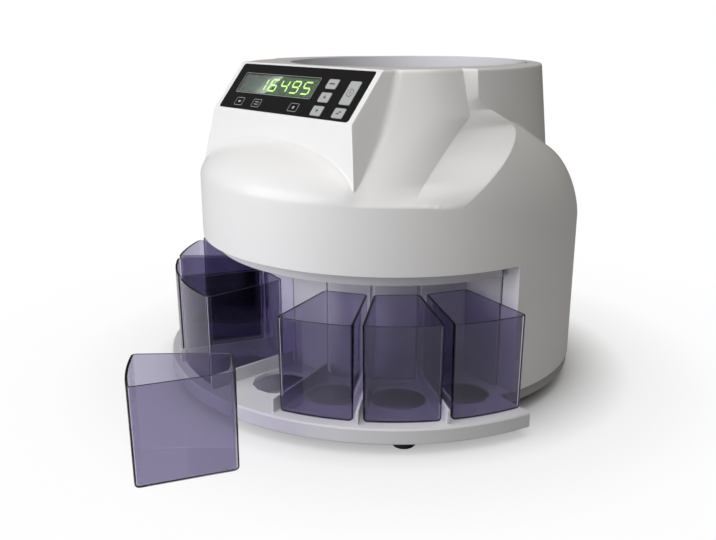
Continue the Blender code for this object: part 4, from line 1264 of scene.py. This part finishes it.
# %% Finishes for parts that stay
inner_finishes = {
    "bearing_housing": cast_zinc, "upper_bush": bronze, "lower_bush": bronze, "disc_shaft": steel,
    "driven_pulley": black_matt, "motor_pulley": steel, "drive_belt": rubber, "drive_motor": sheet_steel,
    "motor_bracket": sheet_steel, "motor_screw_1": steel, "motor_screw_2": steel,
    "cover_screw_1": steel, "cover_screw_2": steel, "cover_screw_3": steel, "cover_screw_4": steel,
    "display_board": circuit, "sensor_board": circuit, "main_board": circuit, "power_supply": sheet_steel,
}
for node, finish in inner_finishes.items():
    nodes[node].data.materials.clear()
    nodes[node].data.materials.append(finish)
    smooth(nodes[node], 35)
left_over = [name for name, node in nodes.items() if not node.hide_render and name not in inner_finishes]
print("parts without a new finish:", left_over)

# %% [markdown]
# ## Light, floor and camera
#
# The photograph is a plain studio picture: white all round, a broad soft light
# low in front and a little to the left, and a weaker one from above. The paper
# on the floor shows its own white far from the object. Near the object it shows
# only the light that falls on it, so the shadow stays under the base.

# %% Floor
def seen_directly(tree):
    """1 where a camera ray or a ray through a clear wall arrives, else 0."""
    rays = tree.nodes.new("ShaderNodeLightPath")
    seen = tree.nodes.new("ShaderNodeMath")
    seen.operation = "MAXIMUM"
    tree.links.new(rays.outputs["Is Camera Ray"], seen.inputs[0])
    tree.links.new(rays.outputs["Is Transmission Ray"], seen.inputs[1])
    return seen.outputs["Value"]


bpy.ops.object.select_all(action="DESELECT")
bpy.ops.mesh.primitive_plane_add(size=12, location=(0, 0, -0.0002))
floor = bpy.context.object
floor.name = "studio_floor"
bake_place(floor)
paper, tree, shader, where = new_finish("white paper")
shader.inputs["Base Color"].default_value = (0.60, 0.60, 0.60, 1)
shader.inputs["Roughness"].default_value = 0.7
glow = tree.nodes.new("ShaderNodeEmission")
glow.inputs["Strength"].default_value = 1.0
middle = tree.nodes.new("ShaderNodeMapping")
middle.inputs["Location"].default_value = (0, -axis_y, 0)
tree.links.new(where, middle.inputs["Vector"])
distance = tree.nodes.new("ShaderNodeVectorMath")
distance.operation = "LENGTH"
tree.links.new(middle.outputs["Vector"], distance.inputs[0])
share = tree.nodes.new("ShaderNodeValToRGB")
share.color_ramp.elements[0].position = 0.15
share.color_ramp.elements[0].color = (0, 0, 0, 1)
share.color_ramp.elements[1].position = 0.46
share.color_ramp.elements[1].color = (1, 1, 1, 1)
share.color_ramp.elements.new(0.22).color = (0.80, 0.80, 0.80, 1)
share.color_ramp.elements.new(0.30).color = (0.97, 0.97, 0.97, 1)
tree.links.new(distance.outputs["Value"], share.inputs["Fac"])
white = tree.nodes.new("ShaderNodeMath")
white.operation = "MULTIPLY"
tree.links.new(seen_directly(tree), white.inputs[0])
tree.links.new(share.outputs["Color"], white.inputs[1])
blend_shaders(tree, white.outputs["Value"], shader.outputs["BSDF"], glow.outputs["Emission"])
floor.data.materials.append(paper)
print("floor", [round(v, 1) for v in floor.dimensions])

# %% World
world = bpy.data.worlds.new("studio")
bpy.context.scene.world = world
world.use_nodes = True
tree = world.node_tree
air = tree.nodes["Background"]
direct = seen_directly(tree)
tones = tree.nodes.new("ShaderNodeValToRGB")
tones.color_ramp.elements[0].color = (1.0, 0.90, 0.80, 1)
tones.color_ramp.elements[1].color = (1, 1, 1, 1)
tree.links.new(direct, tones.inputs["Fac"])
tree.links.new(tones.outputs["Color"], air.inputs["Color"])
level = tree.nodes.new("ShaderNodeMapRange")
level.inputs["To Min"].default_value = 0.09
level.inputs["To Max"].default_value = 1.0
tree.links.new(direct, level.inputs["Value"])
tree.links.new(level.outputs["Result"], air.inputs["Strength"])
print("the world is white to the camera and dim and warm on the object")

# %% Lamps
def soft_lamp(name, spot, aim, width, height, power, color):
    """Broad rectangular lamp that faces a point."""
    light = bpy.data.lights.new(name, "AREA")
    light.color = color
    light.shape = "RECTANGLE"
    light.size = width
    light.size_y = height
    light.energy = power
    made = bpy.data.objects.new(name, light)
    bpy.context.collection.objects.link(made)
    made.location = spot
    made.rotation_euler = (Vector(aim) - Vector(spot)).to_track_quat("-Z", "Y").to_euler()
    return made


soft_lamp("large front light", (-0.60, -1.95, 0.62), (0, 0, 0.14), 2.0, 1.3, 36, (0.955, 0.96, 1.0))
soft_lamp("top light", (0.36, -0.32, 2.0), (0, 0, 0.15), 1.5, 1.5, 23.5, (1.0, 0.99, 0.98))
print("lamps", 2)

# %% Camera
lens_pixels = 835.0
picture_width = 716
shift_pixels = -1.5
sensor_width = 36
camera_dip = math.radians(16.45)
camera_turn = math.radians(48.0)
look = Vector((-math.cos(camera_dip) * math.sin(camera_turn),
               math.cos(camera_dip) * math.cos(camera_turn),
               -math.sin(camera_dip)))
lens = bpy.data.cameras.new("photo camera")
lens.sensor_width = sensor_width
lens.lens = lens_pixels / picture_width * sensor_width
lens.shift_y = shift_pixels / picture_width
lens.clip_start = 0.01
camera = bpy.data.objects.new("photo camera", lens)
bpy.context.collection.objects.link(camera)
camera.location = (0.5269, axis_y - 0.5111, 0.2985)
camera.rotation_euler = look.to_track_quat("-Z", "Y").to_euler()
bpy.context.scene.camera = camera
bpy.context.scene.view_settings.view_transform = "Standard"
print("lens", round(lens.lens, 2), "mm")
